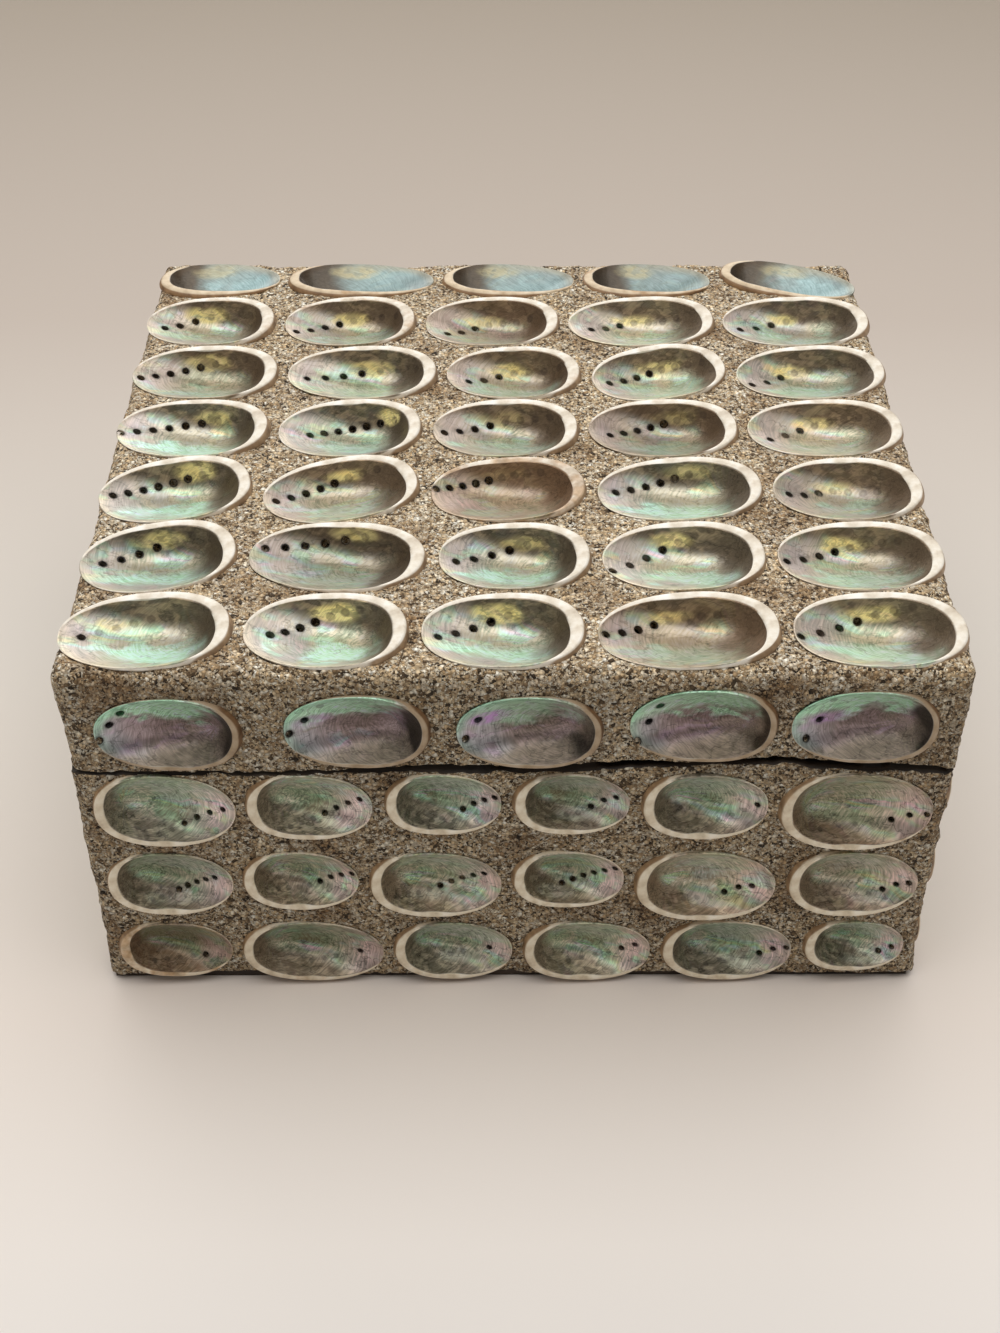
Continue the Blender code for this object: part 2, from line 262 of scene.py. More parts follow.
# How broad the lip is at these angles: it starts at the thin end and stops short at lower right
BAND_ANGLES = [math.radians(a) for a in (-180, -90, -62, -42, -20, 10, 45, 90, 130, 160, 180)]
BAND_FORM = (0.02, 0.02, 0.05, 0.28, 0.74, 1.0, 0.84, 0.64, 0.34, 0.10, 0.02)
ALL_ANGLES = np.radians(np.arange(-180, 180))
EASING = np.hanning(33) / np.hanning(33).sum()
BOWL_DEPTH = 6.3 * MM
ROOT_DEPTH = 9 * MM
ROOT_TAPER = 0.62


def thick_share(angle):
    return (1 + np.cos(angle - THICK_SIDE)) / 2


def lip_height(shell, angle):
    return (LIP_LOW + (LIP_HIGH - LIP_LOW) * thick_share(angle)) * shell.proud


def flank_width(angle):
    return FLANK_THIN + (FLANK_THICK - FLANK_THIN) * thick_share(angle) ** 2


def eased_band():
    """The form above with its corners rounded off."""
    form = np.interp(ALL_ANGLES, BAND_ANGLES, BAND_FORM)
    return np.convolve(np.tile(form, 3), EASING, "same")[len(form):2 * len(form)]


BAND_CURVE = eased_band()


def band_width(shell, angle):
    share = np.interp(angle, ALL_ANGLES, BAND_CURVE, period=2 * math.pi)
    return BAND_THIN + (BAND_THICK * BAND_SHARES[shell.kind] - BAND_THIN) * share


def rounded(value, power):
    return np.sign(value) * np.abs(value) ** power


def outline(shell, angle, inset):
    x = (shell.length / 2 - inset) * rounded(np.cos(angle), 2 / SQUARENESS)
    y = (shell.width / 2 - inset) * rounded(np.sin(angle), 2 / SQUARENESS)
    return x, y * (1 + EGG * np.cos(angle))


def inside_outline(shell, x, y):
    """Angle of points around a shell, and how far each lies inside its outline."""
    along, across = x / (shell.length / 2), y / (shell.width / 2)
    reach = np.hypot(along, across) + 1e-9
    across = across / (1 + EGG * np.clip(along / reach, -1, 1))
    share = (np.abs(along) ** SQUARENESS + np.abs(across) ** SQUARENESS) ** (1 / SQUARENESS) + 1e-9
    angle = np.arctan2(rounded(across, SQUARENESS / 2), rounded(along, SQUARENESS / 2))
    return angle, (1 - share) * np.hypot(x, y) / share


# %% [markdown]
# ## Noise for lumps and grains
# Sand and shell need lumps of a chosen size that are the same in every run. A block of seeded random
# numbers, read with smooth steps in between, gives that for many points at once.
# %% Smooth seeded noise
LATTICE = 32


def soft_noise(points, size, seed):
    lattice = np.random.default_rng(seed).uniform(-1, 1, (LATTICE,) * 3)
    spot = points / size + LATTICE * 4
    cell = np.floor(spot).astype(int)
    share = spot - cell
    share = share * share * (3 - 2 * share)
    total = np.zeros(len(points))
    for corner in itertools.product((0, 1), repeat=3):
        at = (cell + corner) % LATTICE
        weight = np.prod(np.where(corner, share, 1 - share), axis=1)
        total += weight * lattice[at[:, 0], at[:, 1], at[:, 2]]
    return total


def smooth_step(values, low, high):
    share = np.clip((values - low) / (high - low), 0, 1)
    return share * share * (3 - 2 * share)


def read_points(bm):
    return np.array([vert.co[:] for vert in bm.verts])


def write_points(bm, points):
    for vert, point in zip(bm.verts, points):
        vert.co = point


def finish_piece(name, bm, materials, crease=None):
    mesh = bpy.data.meshes.new(name)
    bm.to_mesh(mesh)
    bm.free()
    for material in materials:
        mesh.materials.append(material)
    mesh.polygons.foreach_set("use_smooth", [True] * len(mesh.polygons))
    if crease is not None:
        mesh.set_sharp_from_angle(angle=math.radians(crease))
    piece = bpy.data.objects.new(name, mesh)
    bpy.context.scene.collection.objects.link(piece)
    return piece


# %% [markdown]
# ## Small helpers for shader nodes
# Every material here is a net of nodes. These helpers add a node with its settings, and set each of
# its inputs from a number or from another node's output.
# %% Node helpers
def set_inputs(tree, node, inputs):
    for key, value in inputs.items():
        if isinstance(value, bpy.types.NodeSocket):
            tree.links.new(value, node.inputs[key])
        else:
            node.inputs[key].default_value = value
    return node


def add_node(tree, kind, inputs=None, **settings):
    node = tree.nodes.new("ShaderNode" + kind)
    for key, value in settings.items():
        setattr(node, key, value)
    return set_inputs(tree, node, inputs or {})


def calc(tree, operation, *values):
    return add_node(tree, "Math", dict(enumerate(values)), operation=operation).outputs[0]


def times(tree, first, second):
    return calc(tree, "MULTIPLY", first, second)


def weighted(tree, total, *parts):
    """A starting value and the sum of others, each times its weight."""
    for value, weight in parts:
        total = calc(tree, "MULTIPLY_ADD", value, weight, total)
    return total


def vector_calc(tree, operation, *values):
    return add_node(tree, "VectorMath", dict(enumerate(values)), operation=operation).outputs[0]


def length_of(tree, vector):
    return add_node(tree, "VectorMath", {0: vector}, operation="LENGTH").outputs["Value"]


def noise_value(tree, vector, scale, detail, **more):
    inputs = {"Vector": vector, "Scale": scale, "Detail": detail, **more}
    kind = "4D" if "W" in more else "3D"
    return add_node(tree, "TexNoise", inputs, noise_dimensions=kind).outputs["Fac"]


def fade(tree, value, low, high, start=0.0, end=1.0):
    inputs = {"Value": value, 1: low, 2: high, 3: start, 4: end}
    return add_node(tree, "MapRange", inputs, interpolation_type="SMOOTHSTEP").outputs[0]


def blend_colours(tree, share, first, second, kind="MIX"):
    first, second = ((*colour, 1) if isinstance(colour, tuple) else colour for colour in (first, second))
    inputs = {0: share, 6: first, 7: second}
    node = add_node(tree, "Mix", inputs, data_type="RGBA", blend_type=kind, clamp_factor=True)
    return node.outputs[2]


def tinted(tree, colour, tint):
    return blend_colours(tree, 1.0, colour, tint, "MULTIPLY")


def colour_steps(tree, value, steps):
    node = add_node(tree, "ValToRGB", {"Fac": value})
    ramp = node.color_ramp
    while len(ramp.elements) < len(steps):
        ramp.elements.new(0.5)
    for element, (position, colour) in zip(ramp.elements, steps):
        element.position = position
        element.color = (*colour, 1)
    return node.outputs["Color"]


def new_group(name, inputs, outputs):
    group = bpy.data.node_groups.new(name, "ShaderNodeTree")
    for label, kind in inputs.items():
        group.interface.new_socket(name=label, in_out="INPUT", socket_type="NodeSocket" + kind)
    for label, kind in outputs.items():
        group.interface.new_socket(name=label, in_out="OUTPUT", socket_type="NodeSocket" + kind)
    start = group.nodes.new("NodeGroupInput")
    end = group.nodes.new("NodeGroupOutput")
    return group, start.outputs, end


def use_group(tree, group, inputs):
    return add_node(tree, "Group", inputs, node_tree=group).outputs


def add_bump(tree, height, strength, distance):
    inputs = {"Height": height, "Strength": strength, "Distance": distance}
    return add_node(tree, "Bump", inputs).outputs["Normal"]


def read_values(tree, name):
    """The vector that a mesh's points carry under a name, and its three parts."""
    vector = add_node(tree, "Attribute", attribute_name=name).outputs["Vector"]
    return vector, *add_node(tree, "SeparateXYZ", {"Vector": vector}).outputs


def new_material(name):
    material = bpy.data.materials.new(name)
    material.use_nodes = True
    return material, material.node_tree, material.node_tree.nodes["Principled BSDF"]


# %% [markdown]
# ## Sand mortar
# The coat is coarse beach sand: tan, beige and grey grains up to a millimetre wide, with black ones
# and clear quartz between them. Voronoi cells make the grains, each with one colour from a ramp,
# and the distance to a cell's middle rounds it and darkens its edge, as painted shade in the gaps
# between grains. Two sizes are laid over each other, so that coarse grains sit in fine sand.
# %% Group: sand grains
def make_sand_grains():
    group, inputs, end = new_group(
        "sand grains",
        {"Vector": "Vector", "Grains": "Float"},
        {"Colour": "Color", "Height": "Float", "Glint": "Float"},
    )
    cells = add_node(group, "TexVoronoi", {"Vector": inputs["Vector"], "Scale": inputs["Grains"]})
    pick = add_node(group, "SeparateColor", {"Color": cells.outputs["Color"]})
    colour = colour_steps(group, pick.outputs["Red"], (
        (0.00, (0.03, 0.02, 0.01)),
        (0.16, (0.16, 0.105, 0.055)),
        (0.32, (0.46, 0.32, 0.18)),
        (0.50, (0.74, 0.56, 0.34)),
        (0.66, (0.88, 0.72, 0.49)),
        (0.78, (0.74, 0.64, 0.50)),
        (0.88, (1.00, 0.90, 0.70)),
        (1.00, (1.00, 0.97, 0.86)),
    ))
    # Painted shade: each grain is darker towards its edge, as shade in the gaps between grains.
    rim = fade(group, cells.outputs["Distance"], 0.25, 0.75, 1.0, 0.5)
    set_inputs(group, end, {
        "Colour": tinted(group, colour, rim),
        "Height": fade(group, cells.outputs["Distance"], 0.1, 0.8, 1.0, 0.0),
        "Glint": fade(group, pick.outputs["Red"], 0.9, 0.96),
    })
    return group


sand_grains = make_sand_grains()

# %% Material: sand mortar
COARSE_GRAINS = 820         # grains per metre
FINE_GRAINS = 1700
COARSE_PATCHES = 900
STAINS = 55
LIT_TOP_DEPTH = 7 * MM     # painted light: the sand is painted lighter on the top, down to here, and darker below


def make_sand_mortar():
    material, tree, shader = new_material("sand_mortar")
    place_in_coat = add_node(tree, "TexCoord").outputs["Object"]
    coarse = use_group(tree, sand_grains, {"Vector": place_in_coat, "Grains": COARSE_GRAINS})
    fine = use_group(tree, sand_grains, {"Vector": place_in_coat, "Grains": FINE_GRAINS})
    coarse_here = fade(tree, noise_value(tree, place_in_coat, COARSE_PATCHES, 1), 0.44, 0.52)
    colour = blend_colours(tree, coarse_here, fine["Colour"], coarse["Colour"])
    stain_colour = colour_steps(tree, noise_value(tree, place_in_coat, STAINS, 4), (
        (0.30, (0.62, 0.53, 0.44)),
        (0.50, (1.0, 1.0, 1.0)),
        (0.72, (1.06, 1.04, 1.00)),
    ))
    level = add_node(tree, "SeparateXYZ", {"Vector": place_in_coat}).outputs["Z"]
    # Painted light: the top's sand is painted lighter and the sides' sand darker, as the light falls from
    # above.
    painted_top_light = fade(tree, level, LID_TOP - LIT_TOP_DEPTH, LID_TOP - 1 * MM, 0.80, 1.12)
    height = add_node(tree, "Mix", {0: coarse_here, 2: fine["Height"], 3: coarse["Height"]})
    set_inputs(tree, shader, {
        "Base Color": tinted(tree, tinted(tree, colour, stain_colour), painted_top_light),
        "Normal": add_bump(tree, height.outputs[0], 1.0, 0.6 * MM),
        "Roughness": fade(tree, coarse["Glint"], 0.0, 1.0, 0.85, 0.3),
        "Specular IOR Level": 0.4,
    })
    return material


sand_mortar = make_sand_mortar()

# %% [markdown]
# ## Plain board
# Where the coat stops, at the seam and inside, the box is plain board. Its very dark brown is
# painted shade: it makes the gaps at the seam and under the foot read as deep shade. Its grain is
# noise that is stretched along one direction.
# %% Material: board
def make_board():
    material, tree, shader = new_material("plain_board")
    spot = add_node(tree, "TexCoord").outputs["Object"]
    stretched = vector_calc(tree, "MULTIPLY", spot, (18, 160, 160))
    fibres = noise_value(tree, stretched, 3.0, 6, Distortion=0.6)
    # Very dark: painted shade for the gaps at the seam and under the foot.
    colour = colour_steps(tree, fibres, (
        (0.30, (0.014, 0.009, 0.006)),
        (0.52, (0.040, 0.026, 0.016)),
        (0.75, (0.075, 0.050, 0.032)),
    ))
    set_inputs(tree, shader, {
        "Base Color": colour,
        "Normal": add_bump(tree, fibres, 0.35, 0.4 * MM),
        "Roughness": fade(tree, fibres, 0.3, 0.8, 0.6, 0.8),
    })
    return material


plain_board = make_board()

# %% [markdown]
# ## The coated bodies
# Each body starts as a cube that takes the box's size. Its edges are cut until the faces are about a
# millimetre wide, small enough for sand to show as real relief. The corners are rounded, the open
# edge takes its wave, lumps and grains are pushed in and out, and the sand is pressed down under
# each shell. Then the open edge is extruded step by step into the board inside.
# %% Cut a cube into a fine grid
GRID = 1.06 * MM


def cut_grid(bm, axis, size):
    along = [
        edge for edge in bm.edges
        if abs((edge.verts[0].co - edge.verts[1].co)[axis]) > size * 0.9
    ]
    bmesh.ops.subdivide_edges(bm, edges=along, cuts=round(size / GRID) - 1, use_grid_fill=True)


def add_block(bm, width, depth, low, high):
    spot = Matrix.Translation((0, 0, (low + high) / 2)) @ Matrix.Diagonal((width, depth, high - low, 1))
    bmesh.ops.create_cube(bm, size=1, matrix=spot)


def coat_block(low, high, open_faces):
    bm = bmesh.new()
    add_block(bm, BOX_WIDTH, BOX_DEPTH, low, high)
    gone = [face for face in bm.faces if round(face.normal.z) in open_faces]
    bmesh.ops.delete(bm, geom=gone, context="FACES_ONLY")
    for axis, size in enumerate((BOX_WIDTH, BOX_DEPTH, high - low)):
        cut_grid(bm, axis, size)
    return bm


# %% Round the corners and find which way is out
def round_corners(points, top):
    core_low = np.array([EDGE_ROUND - BOX_WIDTH / 2, EDGE_ROUND - BOX_DEPTH / 2, -1.0])
    core_high = np.array([BOX_WIDTH / 2 - EDGE_ROUND, BOX_DEPTH / 2 - EDGE_ROUND, top - EDGE_ROUND])
    core = np.clip(points, core_low, core_high)
    out = points - core
    out /= np.linalg.norm(out, axis=1, keepdims=True)
    return core + out * EDGE_ROUND, out


FACING = 0.7                # share of the way out that makes a point belong to a side


def edge_height(points, out, heights):
    """The height of the coat's wavy edge above or below each point."""
    total = np.full(len(points), heights[0], float)
    for name in ("front", *HIDDEN_FACES):
        side = FACES[name]
        here = out @ np.array(side.out) > FACING
        share = points[here] @ np.array(side.right) / side.length + 0.5
        wave = np.interp(share, np.linspace(0, 1, len(heights)), heights)
        part = 1 if name == "front" else HIDDEN_EDGE_SHARE
        total[here] = heights[0] + part * (wave - heights[0])
    return total * MM


def foot_height(points, out):
    side_run = np.where(np.abs(out[:, 0]) > FACING, points[:, 1] / BOX_DEPTH, points[:, 0] / BOX_WIDTH)
    return FOOT_HEIGHT + FOOT_WAVE * np.sin(FOOT_WAVES * math.pi * (side_run + 0.5)) ** 2


# %% Lumps, grains and the hollows under the shells
LUMPS = ((16 * MM, 0.75 * MM), (6 * MM, 0.45 * MM), (2.2 * MM, 0.40 * MM))
GRAIN_RELIEF = 0.17 * MM
SEEDS = {"lid": (31, 11, 17), "base": (32, 21, 27)}     # of the crumbs, the relief and the pressed sand
HOLLOW_SLOPE = 2.2
HOLLOW_DEPTH = 10.5 * MM
HOLLOW_MARGIN = 0.7 * MM
HOLLOW_RAGGED = 0.3 * MM    # how far a hollow's edge wanders
RAGGED_SIZE = 1.5 * MM
PRESSED_LAYER = 5 * MM      # sand farther than this from a shell's plane stays as it is
UNDER_LIP = 0.45 * MM       # the sand beside a shell stays this far below its lip
BESIDE_LIP = 1.2 * MM
CRUMB = 0.8 * MM            # the edge at the seam
CRUMB_SIZE = 2.5 * MM


def sand_relief(points, seed):
    relief = np.random.default_rng(seed).uniform(-1, 1, len(points)) * GRAIN_RELIEF
    for step, (size, height) in enumerate(LUMPS):
        relief += soft_noise(points, size, seed + step) * height
    return relief


def press_shells(points, shells, seed):
    """Sand under a shell gives way to it, and sand beside it stays below its lip."""
    ragged = soft_noise(points, RAGGED_SIZE, seed)
    for shell in shells:
        axes = np.array(shell.matrix.to_3x3())
        local = (points - np.array(shell.matrix.translation)) @ axes
        near = np.flatnonzero(
            (np.abs(local[:, 0]) < shell.length * 0.56)
            & (np.abs(local[:, 1]) < shell.width * 0.6)
            & (np.abs(local[:, 2]) < PRESSED_LAYER)
        )
        x, y, height = local[near].T
        angle, depth_in = inside_outline(shell, x, y * shell.hand)
        ceiling = np.where(depth_in > -BESIDE_LIP, lip_height(shell, angle) - UNDER_LIP, 1.0)
        start = HOLLOW_MARGIN * (1 + thick_share(angle)) + HOLLOW_RAGGED * ragged[near]
        hollow = np.clip((depth_in - start) * HOLLOW_SLOPE, 0, HOLLOW_DEPTH)
        moved = np.minimum(height, ceiling) - hollow
        points[near] += np.outer(moved - height, axes[:, 2])


# %% [markdown]
# ## The lid and the base
# The lid is a tray turned upside down, and the base is an open box. Both have their coat outside and
# plain board inside. The extruded loops take their places one by one: under the coat, down or up
# the board, across the rim, and into the hollow.
# %% Step an open edge inwards and up or down
NEAR_SEAM = (RIM_HEIGHT - 5 * MM, RIM_HEIGHT + 12 * MM)


def open_edges(bm, low, high):
    return [
        edge for edge in bm.edges
        if edge.is_boundary and all(low < vert.co.z < high for vert in edge.verts)
    ]


def extrude_to(bm, edges, way, size):
    """Extrude a loop of edges; the new loop moves to an inset from the box's outline or a height."""
    new = bmesh.ops.extrude_edge_only(bm, edges=edges)["geom"]
    half_width, half_depth = BOX_WIDTH / 2 - size, BOX_DEPTH / 2 - size
    for vert in (item for item in new if isinstance(item, bmesh.types.BMVert)):
        if way == "inset":
            vert.co.x = min(max(vert.co.x, -half_width), half_width)
            vert.co.y = min(max(vert.co.y, -half_depth), half_depth)
        else:
            vert.co.z = size
    for face in (item for item in new if isinstance(item, bmesh.types.BMFace)):
        face.material_index = 1
    return [item for item in new if isinstance(item, bmesh.types.BMEdge) and item.is_boundary]


def extrude_steps(bm, edges, *steps):
    """Extrude a loop of edges step by step, and close it off at the end."""
    for way, size in steps:
        edges = extrude_to(bm, edges, way, size)
    face = bmesh.ops.contextual_create(bm, geom=edges)["faces"][0]
    face.material_index = 1
    bmesh.ops.triangulate(bm, faces=[face])


def seal(bm):
    bmesh.ops.remove_doubles(bm, verts=bm.verts, dist=0.01 * MM)
    bmesh.ops.dissolve_degenerate(bm, edges=bm.edges, dist=0.001 * MM)
    bmesh.ops.recalc_face_normals(bm, faces=bm.faces)
    loose = sum(not edge.is_manifold for edge in bm.edges)
    print("faces:", len(bm.faces), "open edges:", loose)


# %% Build the lid's body
LID_EDGE_POWER = 4          # the higher, the closer to the edge its wave stays


def build_lid_body():
    crumb_seed, relief_seed, press_seed = SEEDS["lid"]
    bm = coat_block(RIM_HEIGHT, LID_TOP, (-1,))
    points, out = round_corners(read_points(bm), LID_TOP)
    share = (LID_TOP - points[:, 2]) / LID_HEIGHT
    crumbs = soft_noise(points, CRUMB_SIZE, crumb_seed) * CRUMB
    points[:, 2] += share ** LID_EDGE_POWER * (edge_height(points, out, LID_EDGE) + crumbs)
    points += out * sand_relief(points, relief_seed)[:, None]
    press_shells(points, sum(hidden_lid.values(), lid_shells), press_seed)
    write_points(bm, points)

    extrude_steps(
        bm, open_edges(bm, *NEAR_SEAM),
        ("inset", SEAM_STEP + TOUCH_GAP), ("height", RIM_HEIGHT + TOUCH_GAP),
        ("inset", LID_WALL), ("height", LID_CEILING),
    )
    seal(bm)
    return finish_piece("lid_body", bm, (sand_mortar, plain_board))


lid_body = build_lid_body()

# %% Build the base's body and the liner that makes its lip
LINER_INSET = LID_WALL + LIP_CLEARANCE
LINER_GAP = 0.1 * MM
LINER_FLOOR = 5 * MM
LINER_ROUND = 0.6 * MM
BASE_EDGE_DROP = 0.5 * MM
BASE_EDGE_POWER = 8
NO_TOP = 10.0               # a height so far up that only the upright corners are rounded


def build_base_body():
    crumb_seed, relief_seed, press_seed = SEEDS["base"]
    bm = coat_block(FOOT_HEIGHT, RIM_HEIGHT, (-1, 1))
    points, out = round_corners(read_points(bm), NO_TOP)
    up_share = (points[:, 2] - FOOT_HEIGHT) / (RIM_HEIGHT - FOOT_HEIGHT)
    crumbs = soft_noise(points, CRUMB_SIZE, crumb_seed) * CRUMB
    seam_edge = edge_height(points, out, BASE_EDGE) + crumbs - BASE_EDGE_DROP
    points[:, 2] += up_share ** BASE_EDGE_POWER * seam_edge
    foot = foot_height(points, out) - FOOT_HEIGHT
    points[:, 2] += (1 - up_share) ** BASE_EDGE_POWER * (foot + 0.5 * np.abs(crumbs))
    points += out * sand_relief(points, relief_seed)[:, None]
    press_shells(points, sum(hidden_base.values(), base_shells), press_seed)
    write_points(bm, points)

    rim, foot_edges = open_edges(bm, *NEAR_SEAM), open_edges(bm, 0, 10 * MM)
    extrude_steps(
        bm, rim, ("inset", SEAM_STEP), ("height", RIM_HEIGHT),
        ("inset", LINER_INSET), ("height", FLOOR_THICKNESS - LINER_FLOOR),
    )
    extrude_steps(bm, foot_edges, ("inset", FOOT_STEP), ("height", 0))
    seal(bm)
    return finish_piece("base_body", bm, (sand_mortar, plain_board))


def build_liner():
    bm = bmesh.new()
    inset = 2 * (LINER_INSET + LINER_GAP)
    low = FLOOR_THICKNESS - LINER_FLOOR + LINER_GAP
    add_block(bm, BOX_WIDTH - inset, BOX_DEPTH - inset, low, RIM_HEIGHT + LIP_HEIGHT)
    mouth = [face for face in bm.faces if face.normal.z > 0.9]
    bmesh.ops.inset_region(bm, faces=mouth, thickness=LIP_THICKNESS)
    pulled = bmesh.ops.extrude_discrete_faces(bm, faces=mouth)["faces"]
    for vert in pulled[0].verts:
        vert.co.z = FLOOR_THICKNESS
    corners = [edge for edge in bm.edges if edge.calc_face_angle(0) > 1]
    bmesh.ops.bevel(
        bm, geom=corners, offset=LINER_ROUND, affect="EDGES", segments=2, profile=0.5, material=-1
    )
    seal(bm)
    return finish_piece("base_liner", bm, (plain_board,), crease=40)


base_body = build_base_body()
base_liner = build_liner()

# %% [markdown]
# ## Mother-of-pearl
# The inside of an abalone shell is mother-of-pearl. Its colours run in soft bands from silver green
# and mint to blue and lilac, with fine growth lines around the spire and faint ribs across them.
# Each point of a shell carries its place in the shell, its distances to the pores, and the shell's
# own mood and accent, so that one set of node groups serves every shell and no two look the same.
# %% Group: growth lines of a shell
LINES_START = (0.60, 0.10, -0.25)       # the lines run around this point, in half lengths of the shell


def make_growth_lines():
    """Growth lines, ribs across them, a slow drift, ragged spots of stronger colour, creases."""
    group, inputs, end = new_group(
        "growth lines",
        {"Place": "Vector", "Seed": "Float"},
        {label: "Float" for label in ("Lines", "Ribs", "Drift", "Spot", "Hue", "Mottle", "Crease")},
    )
    place_in = inputs["Place"]

    def noise(vector, scale, detail):
        return noise_value(group, vector, scale, detail, W=inputs["Seed"])

    def pair(x, y):
        return add_node(group, "CombineXYZ", {"X": x, "Y": y}).outputs[0]

    bend = noise(place_in, 1.7, 2)
    off = vector_calc(group, "SUBTRACT", place_in, LINES_START)
    part = add_node(group, "SeparateXYZ", {"Vector": off}).outputs
    reach = length_of(group, vector_calc(group, "MULTIPLY", off, (1.0, 1.5, 1.5)))
    angle = calc(group, "ARCTAN2", part["Y"], times(group, part["X"], -1.0))
    warped = weighted(group, reach, (bend, 0.35))
    across = pair(times(group, warped, 44.0), times(group, angle, 6.0))
    along = pair(times(group, warped, 2.6), weighted(group, times(group, angle, 9.0), (bend, 7.0)))
    stretched = vector_calc(group, "MULTIPLY", place_in, (2.2, 4.2, 4.2))
    from_half = calc(group, "ABSOLUTE", calc(group, "SUBTRACT", noise(stretched, 1.3, 3), 0.5))
    set_inputs(group, end, {
        "Lines": noise(across, 1.0, 5),
        "Ribs": noise(along, 1.0, 4),
        "Drift": bend,
        "Spot": fade(group, noise(stretched, 1.0, 5), 0.47, 0.60),
        "Hue": noise(vector_calc(group, "ADD", stretched, along), 0.7, 3),
        "Mottle": fade(group, noise(stretched, 2.6, 4), 0.42, 0.62),
        "Crease": fade(group, from_half, 0.0, 0.022, 1.0, 0.0),
    })
    return group


growth_lines = make_growth_lines()

# %% Group: a soft patch of colour
def make_soft_patch():
    """A ragged patch around a middle, from 1 inside to 0 outside."""
    group, inputs, end = new_group(
        "soft patch",
        {"Place": "Vector", "Middle": "Vector", "Size": "Vector", "Drift": "Float"},
        {"Share": "Float"},
    )
    off = vector_calc(group, "SUBTRACT", inputs["Place"], inputs["Middle"])
    reach = length_of(group, vector_calc(group, "DIVIDE", off, inputs["Size"]))
    wander = calc(group, "SUBTRACT", inputs["Drift"], 0.5)
    share = fade(group, weighted(group, reach, (wander, 1.6)), 1.0, 0.25)
    set_inputs(group, end, {"Share": share})
    return group


soft_patch = make_soft_patch()

# %% Group: rings and pits of the pores
def make_pore_marks():
    """From the distances to the open and the filled pores, as shares of a pore's radius. Both are painted
    shade: the pit darkens each open hole, and the ring darkens the rims around the pores.
    """
    group, inputs, end = new_group(
        "pore marks",
        {"Open": "Float", "Filled": "Float"},
        {"Ring": "Float", "Pit": "Float"},
    )
    outer = fade(group, inputs["Filled"], 1.3, 0.9)
    inner = fade(group, inputs["Filled"], 0.2, 0.7, 0.7, 1.0)
    filled_ring = times(group, times(group, outer, inner), 1.3)
    set_inputs(group, end, {
        "Ring": calc(group, "MAXIMUM", fade(group, inputs["Open"], 1.9, 1.2), filled_ring),
        "Pit": fade(group, inputs["Open"], 1.3, 1.0),
    })
    return group


pore_marks = make_pore_marks()

# %% Group: the pale lip and the brown outer skin
def make_lip_skin():
    """Covers the mother-of-pearl at the lip: 0 is the inside, 1 the lip, 2 the outer skin."""
    group, inputs, end = new_group(
        "lip skin",
        {"Inside": "Color", "Band": "Float", "Place": "Vector", "Warmth": "Float"},
        {"Colour": "Color", "Lip": "Float"},
    )
    specks = noise_value(group, inputs["Place"], 5.0, 6)
    blush = noise_value(group, inputs["Place"], 2.8, 3)
    cream = colour_steps(group, specks, (
        (0.26, (0.58, 0.50, 0.39)),
        (0.42, (0.78, 0.71, 0.59)),
        (0.56, (0.90, 0.86, 0.77)),
        (0.72, (0.97, 0.95, 0.90)),
    ))
    tan = colour_steps(group, specks, (
        (0.30, (0.30, 0.19, 0.10)),
        (0.55, (0.62, 0.45, 0.29)),
        (0.75, (0.78, 0.66, 0.50)),
    ))
    outer_skin = colour_steps(group, specks, (
        (0.25, (0.16, 0.095, 0.05)),
        (0.55, (0.40, 0.27, 0.16)),
        (0.80, (0.58, 0.44, 0.29)),
    ))
    stained = fade(group, calc(group, "ADD", blush, inputs["Warmth"]), 0.56, 0.78)
    on_lip = fade(group, inputs["Band"], 0.25, 0.75)
    colour = blend_colours(group, on_lip, inputs["Inside"], blend_colours(group, stained, cream, tan))
    on_skin = fade(group, inputs["Band"], 1.2, 1.8)
    set_inputs(group, end, {"Colour": blend_colours(group, on_skin, colour, outer_skin), "Lip": on_lip})
    return group


lip_skin = make_lip_skin()

# %% [markdown]
# ## One material for each kind of shell
# The top's shells are silver green with a golden patch beside the pores, partly a painted highlight,
# and those of its back row are pale blue grey. Those of the base are greyer, with lilac at the thin
# end. Those around the lid are mauve, with a mint edge. A glow of reflected light and the shade under
# the thick lip, at the thick end and in the pores are painted into their colour. The materials
# share the groups, and differ in their ramps and in where each colour lies.
# %% Put a shell material together
Tones = namedtuple("Tones", (
    "ramp iris spots creases contrast glow glow_at patch left gold "
    "wall mottle right dark_end edge deep lip tint"
))
STAIN_BROWN = (0.40, 0.22, 0.11)
PIT_SHADE = (0.012, 0.008, 0.006)


